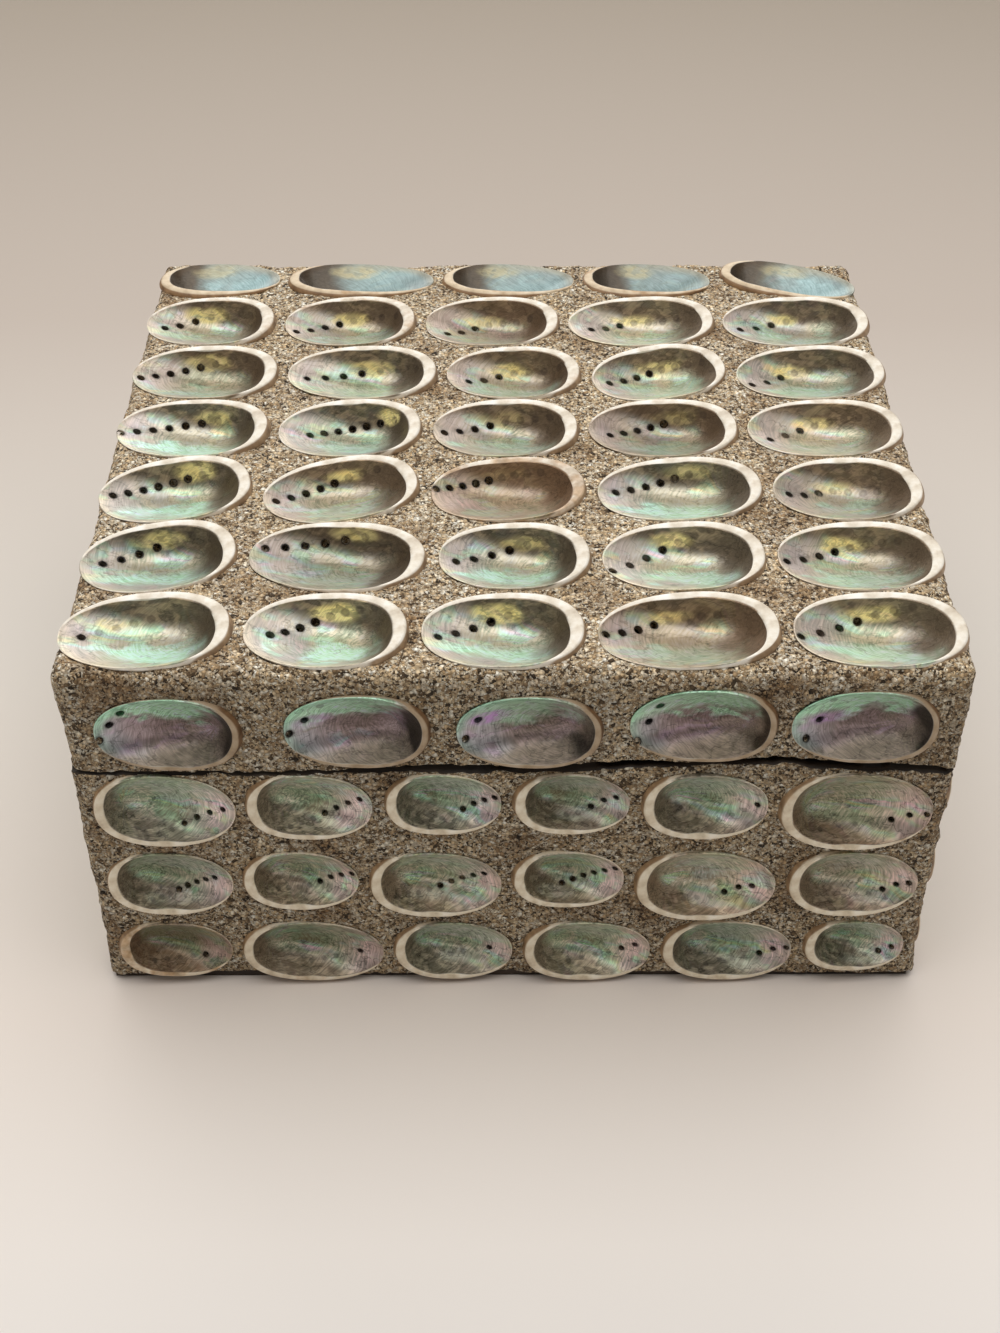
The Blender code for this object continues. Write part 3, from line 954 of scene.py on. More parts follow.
def make_abalone(name, tones):
    """A shell's points say where each colour lies, and the tones say which colours those are."""
    material, tree, shader = new_material(name)
    place_in, at_x, at_y = read_values(tree, "place")[:3]
    shaded_wall_zone, thin_edge, band = read_values(tree, "zones")[1:]
    to_open, to_filled, to_gold = read_values(tree, "pores")[1:]
    seed, lightness, warmth = read_values(tree, "mood")[1:]
    reflection_glow_strength, gold_strength, stain = read_values(tree, "accent")[1:]
    lines = use_group(tree, growth_lines, {"Place": place_in, "Seed": seed})
    pores = use_group(tree, pore_marks, {"Open": to_open, "Filled": to_filled})
    streak, rib, drift, spot = (lines[label] for label in ("Lines", "Ribs", "Drift", "Spot"))
    # Painted reflection: the patch where the bowl mirrors the bright light behind is laid on as a glow of
    # colour.
    patch = use_group(tree, soft_patch, {
        "Place": add_node(tree, "CombineXYZ", {"X": at_x, "Y": at_y}).outputs[0],
        "Middle": tones.glow_at,
        "Size": tones.patch,
        "Drift": weighted(tree, drift, (spot, -0.2)),
    })
    wander = times(tree, calc(tree, "SUBTRACT", drift, 0.5), 0.9)
    end = calc(tree, "ADD", at_x, wander)

    def lay(share, colour):
        return blend_colours(tree, share, pearl, colour)

    hue = weighted(tree, -0.22, (drift, 0.9), (rib, 0.2), (streak, 0.35))
    pearl = colour_steps(tree, hue, tones.ramp)
    pearl = lay(fade(tree, end, -0.25, -0.80, 0.0, 0.6), tones.left)
    iris = colour_steps(tree, lines["Hue"], tones.iris)
    pearl = lay(times(tree, spot, tones.spots), iris)
    glow = colour_steps(tree, weighted(tree, 0.0, (streak, 0.7), (rib, 0.5)), tones.glow)
    pearl = lay(times(tree, patch["Share"], reflection_glow_strength), glow)
    pearl = lay(times(tree, thin_edge, 0.6), tones.edge)
    # Painted shade: the steep wall under the thick lip is painted dark, mostly as the shade and dark
    # reflection under the overhang, with a mottle of the wall's own colour.
    wall = fade(tree, weighted(tree, shaded_wall_zone, (wander, 0.6)), 0.12, 0.62)
    mottled = blend_colours(tree, lines["Mottle"], tones.wall, tones.mottle)
    pearl = lay(times(tree, wall, 0.9), mottled)
    # Painted shade: the deep hollow at the thick end, under the lip, is painted darker.
    pearl = lay(fade(tree, end, *tones.dark_end, 0.0, 0.9), tones.right)
    # Partly painted highlight: the golden patch by the pores is partly the nacre's own gold, partly a
    # painted highlight of warm light.
    gold_share = fade(tree, weighted(tree, to_gold, (wander, 1.6)), 1.0, 0.35)
    gold_share = times(tree, gold_share, gold_strength)
    gold_share = times(tree, gold_share, fade(tree, lines["Mottle"], 0.0, 0.5, 0.5, 1.0))
    pearl = lay(gold_share, blend_colours(tree, 0.15, tones.gold, iris))
    pearl = lay(stain, STAIN_BROWN)

    streaks = weighted(tree, streak, (rib, 0.35))
    light = fade(tree, streaks, 0.45, 0.92, 1 - tones.contrast, 1 + 0.7 * tones.contrast)
    light = times(tree, light, lightness)
    light = times(tree, light, fade(tree, lines["Crease"], 0.0, 1.0, 1.0, 1 - tones.creases))
    pearl = tinted(tree, tinted(tree, pearl, light), tones.tint)
    # Painted shade: darker rings at the rims of the pores, and the open holes painted near black inside.
    pearl = lay(times(tree, pores["Ring"], 0.35), tones.deep)
    pearl = lay(pores["Pit"], PIT_SHADE)
    skin = use_group(tree, lip_skin, {
        "Inside": pearl, "Band": band, "Place": place_in, "Warmth": warmth,
    })
    lip_tint = blend_colours(tree, skin["Lip"], (1, 1, 1), tones.lip)
    not_pearly = calc(tree, "MAXIMUM", skin["Lip"], gold_share)
    relief = weighted(tree, 0.0, (streak, 0.8), (rib, 0.4))
    set_inputs(tree, shader, {
        "Base Color": tinted(tree, skin["Colour"], lip_tint),
        "Normal": add_bump(tree, relief, 0.24, 0.6 * MM),
        "Roughness": fade(tree, skin["Lip"], 0.0, 1.0, 0.44, 0.50),
        "Metallic": fade(tree, not_pearly, 0.0, 1.0, 0.7, 0.0),
        "Coat Weight": fade(tree, skin["Lip"], 0.0, 1.0, 0.3, 0.1),
        "Coat Roughness": 0.18,
    })
    return material


# %% The colours of the four kinds
TOP_TONES = Tones(
    ramp=(
        (0.08, (0.25, 0.21, 0.16)),
        (0.24, (0.38, 0.35, 0.28)),
        (0.38, (0.36, 0.44, 0.36)),
        (0.50, (0.58, 0.57, 0.49)),
        (0.62, (0.46, 0.50, 0.52)),
        (0.76, (0.58, 0.49, 0.56)),
        (0.90, (0.70, 0.61, 0.49)),
    ),
    iris=(
        (0.30, (0.95, 0.78, 0.42)),
        (0.40, (0.66, 0.84, 0.50)),
        (0.48, (0.38, 0.86, 0.64)),
        (0.56, (0.42, 0.80, 0.90)),
        (0.64, (0.62, 0.58, 0.92)),
        (0.72, (0.92, 0.62, 0.78)),
    ),
    spots=0.5,
    creases=0.3,
    contrast=0.24,
    # The glow and where it lies: painted reflection of the light behind.
    glow=(
        (0.30, (0.34, 0.84, 0.58)),
        (0.48, (0.56, 1.00, 0.80)),
        (0.62, (0.64, 1.00, 1.00)),
        (0.78, (0.58, 0.76, 1.00)),
    ),
    glow_at=(0.08, -0.20, 0.0),
    patch=(0.78, 0.32, 1.0),
    left=(0.52, 0.46, 0.53),
    # The gold: partly the nacre's own gold, partly a painted highlight.
    gold=(1.0, 0.84, 0.34),
    # The wall and its mottle: painted shade under the thick lip, with the wall's own mottle.
    wall=(0.13, 0.10, 0.07),
    mottle=(0.36, 0.285, 0.195),
    # The colour at the right end and where it lies: painted shade in the deep hollow at the thick end.
    right=(0.15, 0.125, 0.095),
    dark_end=(0.28, 0.68),
    edge=(0.74, 0.70, 0.58),
    # The colour of the rings around the pores: painted shade.
    deep=(0.06, 0.04, 0.03),
    lip=(1.0, 1.0, 1.0),
    tint=(1.05, 0.98, 0.87),
)
BACK_TONES = Tones(
    ramp=(
        (0.10, (0.20, 0.21, 0.20)),
        (0.30, (0.27, 0.33, 0.34)),
        (0.50, (0.30, 0.40, 0.45)),
        (0.70, (0.36, 0.44, 0.50)),
        (0.90, (0.46, 0.45, 0.40)),
    ),
    iris=((0.35, (0.50, 0.50, 0.36)), (0.55, (0.32, 0.50, 0.58)), (0.70, (0.50, 0.46, 0.58))),
    spots=0.3,
    creases=0.15,
    contrast=0.18,
    glow=((0.30, (0.34, 0.56, 0.64)), (0.70, (0.46, 0.66, 0.78))),
    glow_at=(-0.35, 0.00, 0.0),
    patch=(0.7, 0.4, 1.0),
    left=(0.36, 0.48, 0.56),
    gold=(1.0, 0.84, 0.45),
    wall=(0.09, 0.06, 0.035),
    mottle=(0.20, 0.14, 0.085),
    right=(0.10, 0.065, 0.04),
    dark_end=(0.05, 0.50),
    edge=(0.52, 0.46, 0.36),
    deep=(0.05, 0.035, 0.025),
    lip=(0.82, 0.72, 0.58),
    tint=(1.00, 0.98, 0.86),
)
BASE_TONES = Tones(
    ramp=(
        (0.10, (0.24, 0.22, 0.17)),
        (0.28, (0.44, 0.46, 0.33)),
        (0.44, (0.40, 0.60, 0.44)),
        (0.58, (0.64, 0.66, 0.58)),
        (0.72, (0.46, 0.62, 0.68)),
        (0.86, (0.78, 0.60, 0.72)),
    ),
    iris=(
        (0.34, (0.66, 0.74, 0.36)),
        (0.46, (0.34, 0.84, 0.54)),
        (0.56, (0.44, 0.74, 0.84)),
        (0.68, (0.90, 0.58, 0.86)),
    ),
    spots=0.7,
    creases=0.45,
    contrast=0.42,
    glow=((0.30, (0.40, 0.62, 0.50)), (0.55, (0.60, 0.74, 0.66)), (0.80, (0.62, 0.62, 0.72))),
    glow_at=(-0.10, -0.30, 0.0),
    patch=(0.80, 0.34, 1.0),
    left=(0.86, 0.66, 0.82),
    gold=(0.50, 0.50, 0.46),
    wall=(0.12, 0.10, 0.08),
    mottle=(0.34, 0.31, 0.25),
    right=(0.24, 0.22, 0.17),
    dark_end=(0.45, 0.95),
    edge=(0.36, 0.34, 0.27),
    deep=(0.03, 0.025, 0.02),
    lip=(0.95, 0.90, 0.80),
    tint=(1.12, 1.04, 0.95),
)
LID_TONES = Tones(
    ramp=(
        (0.12, (0.18, 0.14, 0.13)),
        (0.34, (0.29, 0.225, 0.22)),
        (0.54, (0.37, 0.275, 0.32)),
        (0.72, (0.44, 0.34, 0.42)),
        (0.90, (0.38, 0.42, 0.42)),
    ),
    iris=((0.36, (0.26, 0.20, 0.18)), (0.55, (0.54, 0.36, 0.60)), (0.68, (0.36, 0.50, 0.60))),
    spots=0.6,
    creases=0.35,
    contrast=0.34,
    glow=((0.38, (0.42, 0.90, 0.66)), (0.62, (0.64, 0.96, 0.82)), (0.82, (0.62, 0.64, 1.00))),
    glow_at=(-0.26, -0.48, 0.0),
    patch=(1.25, 0.50, 1.0),
    left=(0.46, 0.48, 0.62),
    gold=(0.54, 0.30, 0.74),
    wall=(0.25, 0.20, 0.18),
    mottle=(0.33, 0.26, 0.24),
    right=(0.02, 0.015, 0.012),
    dark_end=(0.62, 0.82),
    edge=(0.30, 0.62, 0.50),
    deep=(0.02, 0.015, 0.015),
    lip=(0.50, 0.40, 0.30),
    tint=(1.06, 1.08, 0.93),
)
ABALONE = {
    "top": make_abalone("abalone_silver", TOP_TONES),
    "back row": make_abalone("abalone_pale", BACK_TONES),
    "base side": make_abalone("abalone_grey", BASE_TONES),
    "lid side": make_abalone("abalone_mauve", LID_TONES),
}
print("shell materials:", [material.name for material in ABALONE.values()])

# %% [markdown]
# ## Turning a shell on a lathe
# A shell is a body of revolution that was pulled out of round. So a short chain of vertices is spun
# around the Z axis, from the middle of the bowl over the lip to the root in the sand. Each ring then
# moves to its place: the egg-shaped outline, the lip's height at that angle, and the deep side of
# the bowl near the thick end.
# %% Spin a profile
BOWL_RINGS = 20
LIP_INSETS = (1.0, 0.72, 0.40, 0.12, 0.0)       # of the band's width, inner edge to outer edge
LIP_LEVELS = (-0.32, -0.08, 0.0, -0.10, -0.28)  # in millimetres, on the thick side
FLANK = ((0.45, -0.45), (0.0, -0.95), (0.0, -1.25))
BOWL_SHIFT = (0.07, 0.15)
SPIRE = (0.60, 0.10)
SPIRE_DEPTH = 0.5 * MM
RIPPLE = 0.09 * MM
RIPPLE_LENGTH = 2.6 * MM
SPIRE_WIDTH = 0.22
WOBBLE = 0.013              # how far a shell's outline wanders, as a share of its size
WOBBLE_SIZE = 0.6
WALL_POWER = (1.6, 1.3)     # how steep the wall is, and how much steeper on the thick side


def spin_profile(rings, steps):
    """Ring number is the height of each vertex, and its radius grows with the ring."""
    bm = bmesh.new()
    chain = [bm.verts.new((ring * 0.1, 0, ring)) for ring in range(rings - 1)]
    chain.append(bm.verts.new((0, 0, rings - 1)))
    edges = [bm.edges.new(pair) for pair in zip(chain, chain[1:])]
    bmesh.ops.spin(
        bm, geom=chain + edges, axis=(0, 0, 1), cent=(0, 0, 0), dvec=(0, 0, 0),
        angle=2 * math.pi, steps=steps, use_merge=True,
    )
    bmesh.ops.remove_doubles(bm, verts=bm.verts, dist=0.001)
    return bm


# %% Move the rings of a shell to their places
def bowl_surface(shell, angle, share, wobble):
    """Points of the hollow inside: share runs from 0 at its deepest point to 1 at the lip."""
    thick = thick_share(angle)
    inset = flank_width(angle) + band_width(shell, angle)
    x, y = outline(shell, angle, inset)
    x, y = x * wobble, y * wobble
    middle_x = BOWL_SHIFT[0] * shell.length
    middle_y = BOWL_SHIFT[1] * shell.width
    x = middle_x + (x - middle_x) * share
    y = middle_y + (y - middle_y) * share
    edge = lip_height(shell, angle) + LIP_LEVELS[0] * MM * thick
    power = WALL_POWER[0] + WALL_POWER[1] * thick
    z = -BOWL_DEPTH + (edge + BOWL_DEPTH) * share ** power
    half = shell.length / 2
    to_spire = np.hypot(x / half - SPIRE[0], y / half - SPIRE[1])
    z -= SPIRE_DEPTH * np.exp(-(to_spire / SPIRE_WIDTH) ** 2)
    z += RIPPLE * np.sin(to_spire * half / RIPPLE_LENGTH * 2 * math.pi) * (1 - share ** 4)
    return x, y, z


def form_shell(bm, shell, seed, bowl_rings):
    points = read_points(bm)
    ring = np.rint(points[:, 2]).astype(int)
    angle = np.arctan2(points[:, 1], points[:, 0])
    thick = thick_share(angle)
    circle = np.stack([np.cos(angle), np.sin(angle), np.zeros(len(angle))], axis=1)
    wobble = 1 + WOBBLE * soft_noise(circle, WOBBLE_SIZE, seed)
    result = np.zeros_like(points)

    share = np.sin(math.pi / 2 * np.clip(ring / bowl_rings, 0, 1))
    result[:] = np.stack(bowl_surface(shell, angle, share, wobble), axis=1)
    flank, band = flank_width(angle), band_width(shell, angle)
    height = lip_height(shell, angle)
    rims = [
        (flank + part * band, height + level * MM * thick, wobble)
        for part, level in zip(LIP_INSETS[1:], LIP_LEVELS[1:])
    ]
    rims += [(part * flank, height * (1 + drop), wobble) for part, drop in FLANK]
    rims += [(0, 0 * angle - ROOT_DEPTH, ROOT_TAPER), (0, 0 * angle - ROOT_DEPTH, 0)]
    for number, (inset, level, scale) in enumerate(rims, bowl_rings + 1):
        here = ring == number
        x, y = outline(shell, angle, inset)
        result[here] = np.stack([x * scale, y * scale, level], axis=1)[here]
    write_points(bm, result)


RINGS_AFTER_BOWL = len(LIP_INSETS) - 1 + len(FLANK) + 2

# %% [markdown]
# ## Pores
# Abalones breathe through a row of pores. The youngest ones at the thin end are open, and the older
# ones are filled and show as rings. Each row is given by where its first and last open pore appear on
# the face of the box, seen from the camera. A line of sight through each of those points finds the
# spot on the bowl, and a small cylinder cuts the hole there.
# %% The open pores of each shell: first and last, in millimetres on the face, and their number
def by_shell(rows):
    """One value for each shell, from values that stand in rows; None stands for no value."""
    return {
        f"{row}_{column}": value
        for row, values in rows.items()
        for column, value in enumerate(values, 1)
        if value is not None
    }


PORES = by_shell({
    "top_shell_2": (
        (-118.5, 68.5, -108.5, 73, 3), (-73, 66, -58.5, 71, 4), (-21, 64.5, -11.5, 68, 3),
        (28.5, 67.5, 38.5, 70, 3), (80, 67.5, 91, 70.5, 3),
    ),
    "top_shell_3": (
        (-122, 35.5, -103, 42, 5), (-67, 35, -49, 38, 4), (-13.5, 33, -3.5, 36, 3), (33, 32, 46.5, 38, 4),
        (80, 31, 90, 35.5, 3),
    ),
    "top_shell_4": (
        (-123.5, 2, -98.5, 7.5, 6), (-63.5, 0.5, -41.5, 7.5, 6), (-21, 2, -6.5, 6, 4),
        (31.5, 0.5, 49, 7, 5), (77, -3.5, 92, 3, 4),
    ),
    "top_shell_5": (
        (-120.5, -33, -99, -24, 6), (-71, -36, -54, -26.5, 5), (-23, -29.5, -7, -25, 5),
        (31.5, -31.5, 50, -24, 5), (84, -32.5, 93, -32, 3),
    ),
    "top_shell_6": (
        (-118, -67.5, -103.5, -59.5, 4), (-72, -60, -49, -56, 5), (-16.5, -66.5, -1, -61, 4),
        (28.5, -71, 43.5, -61, 4), (79, -66.5, 93.5, -62, 4),
    ),
    "top_shell_7": (
        (-118.5, -101, -114, -99, 1), (-67, -100, -55, -94.5, 4), (-21, -101, -6.5, -94.5, 4),
        (25, -100, 38.5, -96, 4), (78.5, -101, 95, -94.5, 4),
    ),
    "lid_front_shell": (
        (-114.5, 97.5, -107.5, 107.5, 3), (-62, 100, -57.5, 105, 2), (-13.5, 98, -10, 105, 2),
        (34, 97, 39.5, 110, 3), (80.5, 98, 83.5, 105, 2),
    ),
    "base_front_shell_1": (
        (-83, 71, -94.5, 65.5, 4), (-40.5, 76, -54, 69.5, 5), (-5.5, 75.5, -14.5, 71, 4),
        (29, 75.5, 22, 72, 3), (73, 74.5, 69.5, 72.5, 2), (118.5, 68.5, 108.5, 66.5, 3),
    ),
    "base_front_shell_2": (
        (-88, 43, -99, 38, 5), (-47.5, 44.5, -57, 41.5, 4), (-8.5, 44.5, -21.5, 39.5, 5),
        (30, 46.5, 14.5, 40.5, 6), (71, 39, 63, 36.5, 3), (117.5, 40, 110, 37.5, 3),
    ),
    "base_front_shell_3": (
        (-94, 9, -98, 8.3, 1), (-46.5, 10.5, -50.3, 9.4, 1), (-7, 12, -11, 11, 1),
        (37.5, 13, 33.5, 11.5, 2), (84, 11.5, 76, 9, 3), (120, 12, 112.5, 10, 3),
    ),
})
FIT_LIFT = 2.5 * MM         # those places were read with the table 2.5 mm too high
PORE_SIZES = {"top": 1.2 * MM, "back row": 1.0 * MM, "base side": 0.85 * MM, "lid side": 1.1 * MM}
PORE_DEPTH = 5 * MM
PORE_SAG = 0.8 * MM         # how far the middle of a row bends to the thin side
PORE_ABOVE = 2.5 * MM       # a cutter starts this far above the bowl
HIDDEN_PORES = 4
HIDDEN_ROWS = (((-0.38, 0.06), (-0.12, 0.22)), ((-0.42, -0.05), (-0.25, -0.32)))
FILLED_PORES = 4
LIP_LEVEL = 2.2 * MM        # a sight that meets the shell above this has met its lip
GOLD_AHEAD = 3.5 * MM       # the golden patch, partly a painted highlight, lies by the last open pore, on the wall over it
GOLD_OFFSET = 2.4 * MM

# %% Find the pores on a shell
def face_spots(shell):
    """First and last pore on the face of the box, where the camera sees them."""
    x1, y1, x2, y2, count = PORES[shell.name]
    if shell.name.startswith("top"):
        return Vector((x1 * MM, y1 * MM, LID_TOP)), Vector((x2 * MM, y2 * MM, LID_TOP)), count
    front = -BOX_DEPTH / 2
    first = Vector((x1 * MM, front, y1 * MM + FIT_LIFT))
    return first, Vector((x2 * MM, front, y2 * MM + FIT_LIFT)), count


def pore_sights(shell):
    """A line of sight for each pore, as a start and a direction in the shell's own axes.

    The row goes on past the open pores with filled ones. The last sight is above the row, on the
    wall, where the golden patch lies."""
    back = shell.matrix.inverted()
    turn = shell.matrix.to_3x3()
    if shell.name in PORES:
        first, last, count = face_spots(shell)
        start = back @ CAMERA_SPOT
        bend = turn @ Vector((0, -PORE_SAG * shell.hand, 0))
        shares = [step / max(count - 1, 1) for step in range(count + FILLED_PORES)]
        spots = [first.lerp(last, share) + bend * math.sin(math.pi * share) for share in shares]
        along = 1 + GOLD_AHEAD / (last - first).length
        spots.append(first.lerp(last, along) + turn @ Vector((0, GOLD_OFFSET * shell.hand, 0)))
        return [(start, (back @ spot - start).normalized()) for spot in spots], count
    low, high = HIDDEN_ROWS[shell.kind == "lid side"]
    sights = []
    for step in range(HIDDEN_PORES + FILLED_PORES + 1):
        along, across = Vector(low).lerp(Vector(high), step / (HIDDEN_PORES - 1))
        start = Vector((along * shell.length, across * shell.width * shell.hand, 1))
        sights.append((start, Vector((0, 0, -1))))
    return sights, HIDDEN_PORES


def find_row(bm, shell):
    """Open pores as spots with the way to drill them, spots of filled pores, the patch's spot."""
    tree = BVHTree.FromBMesh(bm)
    sights, count = pore_sights(shell)
    found = []
    for start, way in sights:
        spot, normal = tree.ray_cast(start, way)[:2]
        inside = spot is not None and spot.z < LIP_LEVEL
        found.append((spot, (normal - way).normalized()) if inside else None)
    filled = [item[0] for item in found[count:-1] if item]
    gold = found[-1][0] if found[-1] else Vector((-0.1 * shell.length, 0.3 * shell.width, 0))
    return [item for item in found[:count] if item], filled, gold


def drill_pores(piece, row, radius, seed):
    noise = np.random.default_rng(seed)
    cutter_mesh = bmesh.new()
    for spot, way in row:
        size = radius * noise.uniform(0.75, 1.1)
        turn = way.to_track_quat("Z", "Y").to_matrix().to_4x4()
        middle = Matrix.Translation(spot + way * (PORE_ABOVE - PORE_DEPTH) / 2)
        bmesh.ops.create_cone(
            cutter_mesh, cap_ends=True, segments=16, radius1=size * 0.9, radius2=size * 1.1,
            depth=PORE_DEPTH + PORE_ABOVE, matrix=middle @ turn,
        )
    mesh = bpy.data.meshes.new("pore_cutter")
    cutter_mesh.to_mesh(mesh)
    cutter_mesh.free()
    cutter = bpy.data.objects.new("pore_cutter", mesh)
    modifier = piece.modifiers.new("pores", "BOOLEAN")
    modifier.operation = "DIFFERENCE"
    modifier.solver = "EXACT"
    modifier.object = cutter
    graph = bpy.context.evaluated_depsgraph_get()
    drilled = bpy.data.meshes.new_from_object(piece.evaluated_get(graph))
    piece.modifiers.clear()
    bpy.data.objects.remove(cutter)
    return drilled


# %% Give each point of a shell what its material reads
FAR_AWAY = 99.0
GOLD_SIZE = np.array([10.0, 3.2, 3.2]) * MM
ROOT_SKIN = -8.5 * MM       # below this a shell is outer skin only


def nearest_distance(points, spots):
    """Distance from each point to the nearest of some spots, in millimetres."""
    if not spots:
        return np.full(len(points), FAR_AWAY)
    gaps = points[:, None] - np.array([spot[:] for spot in spots])[None]
    return np.linalg.norm(gaps, axis=2).min(axis=1) / MM


def mark_shell(mesh, shell, row, filled, gold, mood, accent):
    points = np.array([vert.co[:] for vert in mesh.vertices])
    angle, depth_in = inside_outline(shell, points[:, 0], points[:, 1])
    flank, band = flank_width(angle), band_width(shell, angle)
    inner_edge = flank + band
    on_band = smooth_step(depth_in, inner_edge + 0.25 * MM, inner_edge - 0.15 * MM)
    on_band = on_band * smooth_step(band, 0.3 * MM, 0.9 * MM)
    beyond = smooth_step(depth_in, flank + 0.15 * MM, flank - 0.35 * MM)
    band_values = np.where(points[:, 2] < ROOT_SKIN, 2, on_band + beyond)
    # Where the steep wall under the thick lip lies, which takes painted shade.
    wall = smooth_step(depth_in, inner_edge + 7.0 * MM * thick_share(angle), inner_edge)
    edge = smooth_step(depth_in, 4 * MM, 0.5 * MM) * (1 - thick_share(angle)) ** 2
    zones = np.stack([wall * thick_share(angle), edge, band_values], axis=1)
    pores = np.stack([
        nearest_distance(points, [spot for spot, way in row]) / (PORE_SIZES[shell.kind] / MM),
        nearest_distance(points, filled) / (PORE_SIZES[shell.kind] / MM),
        np.linalg.norm((points - np.array(gold)) / GOLD_SIZE, axis=1),
    ], axis=1)
    values = {
        "place": points / (shell.length / 2),
        "zones": zones,
        "pores": pores,
        "mood": np.tile(mood, (len(points), 1)),
        "accent": np.tile(accent, (len(points), 1)),
    }
    for name, vectors in values.items():
        layer = mesh.attributes.new(name, "FLOAT_VECTOR", "POINT")
        layer.data.foreach_set("vector", np.ascontiguousarray(vectors, np.float32).ravel())


# %% [markdown]
# ## Making every shell
# Each shell that has a CAD node becomes a piece of its own. Shells on the sides turned away are made
# the same way and joined to one piece for each side.
# %% What is special about single shells
# Seed of the growth lines, lightness of a shell and warmth of its lip, where they stand out
MOODS = by_shell({
    "top_shell_1": (
        (2.2, 0.78, 0.04), (3.1, 0.7, 0.12), (4.4, 0.72, 0.06), (5.3, 0.66, 0.14), (6.6, 0.74, 0.04),
    ),
    "top_shell_2": ((9.7, 0.95, 0.06), (12.9, 0.92, 0.1), (14.2, 0.88, 0.02)),
    "top_shell_3": (None, None, (17.7, 0.9, 0.06)),
    "top_shell_4": (None, None, None, (21.3, 0.8, 0.0)),
    "top_shell_5": ((24.9, 1.02, -0.12), None, (28.4, 0.92, 0.2)),
    "top_shell_6": (None, (31.6, 0.76, -0.06)),
    "top_shell_7": ((35.2, 1.06, -0.04), (38.8, 1.08, -0.14), None, (41.5, 0.92, -0.1)),
    "base_front_shell_1": (None, None, None, None, None, (44.1, 0.88, 0.06)),
    "base_front_shell_3": ((47.9, 0.74, 0.16), (50.3, 0.86, 0.04)),
})
# Strength of the painted glow of reflected light, of the golden patch, partly a painted highlight, and of
# the brown stain, where they are seen well
ACCENTS = by_shell({
    "top_shell_1": ((1.0, 0.35, 0.0), (0.5, 0.6, 0.0), (0.6, 0.45, 0.0), (0.3, 0.5, 0.0), (0.9, 0.35, 0.0)),
    "top_shell_2": (
        (0.3, 1.0, 0.12), (0.5, 1.0, 0.16), (0.2, 0.8, 0.28), (0.4, 0.8, 0.08), (0.6, 1.0, 0.05),
    ),
    "top_shell_3": ((0.4, 0.8, 0.16), (0.4, 0.7, 0.05), (0.6, 1.0, 0.2), (0.4, 0.8, 0.1), (0.6, 1.0, 0.05)),
    "top_shell_4": ((0.9, 0.6, 0.0), (0.7, 1.0, 0.0), (0.5, 0.4, 0.16), (0.4, 0.5, 0.25), (0.3, 1.0, 0.12)),
    "top_shell_5": ((1.0, 0.8, 0.0), (0.4, 1.0, 0.16), (0.15, 0.3, 0.4), (0.8, 0.5, 0.0), (0.3, 0.7, 0.14)),
    "top_shell_6": ((1.0, 0.8, 0.0), (0.35, 1.0, 0.1), (0.9, 0.6, 0.0), (0.7, 1.0, 0.0), (0.6, 1.0, 0.1)),
    "top_shell_7": ((1.0, 0.7, 0.0), (1.0, 1.0, 0.0), (0.9, 1.0, 0.0), (0.5, 0.9, 0.26), (0.7, 0.9, 0.06)),
    "lid_front_shell": (
        (2.0, 0.0, 0.0), (0.9, 0.5, 0.0), (0.7, 1.0, 0.0), (1.8, 0.2, 0.08), (1.3, 0.8, 0.0),
    ),
    "base_front_shell_1": ((0.8, 0.2, 0.0), (0.5, 0.2, 0.06), (0.9, 0.2, 0.0), None, None, (0.4, 0.4, 0.3)),
    "base_front_shell_2": (None, (0.3, 0.4, 0.16), None, (0.4, 0.5, 0.14)),
    "base_front_shell_3": ((0.3, 0.2, 0.42), (0.2, 0.3, 0.16), None, (0.7, 0.3, 0.1)),
})

# %% Build one shell
SHELL_STEPS = 88
HIDDEN_STEPS = 56
HIDDEN_BOWL_RINGS = 12
ACCENT_SEED = 500
SHELL_CREASE = 50
BACK_ROW_GOLD = (0.06, -0.36, -1.0)     # where the back row's golden patch, partly a painted highlight, lies: shares of the shell's length and width, and millimetres


def random_mood(seed):
    noise = np.random.default_rng(seed)
    return noise.uniform(0, 60), noise.uniform(0.88, 1.1), noise.uniform(-0.16, 0.0)


def random_accent(seed):
    """Strength of the painted glow of reflected light, of the golden patch, partly a painted highlight, and
    of the brown stain of a shell.
    """
    noise = np.random.default_rng(seed + ACCENT_SEED)
    return noise.uniform(0.6, 1.0), noise.uniform(0.5, 1.0), noise.uniform(0.0, 0.25)


def mirrored(bm):
    bmesh.ops.transform(bm, matrix=Matrix.Diagonal((1, -1, 1, 1)), verts=bm.verts)
    bmesh.ops.reverse_faces(bm, faces=bm.faces)


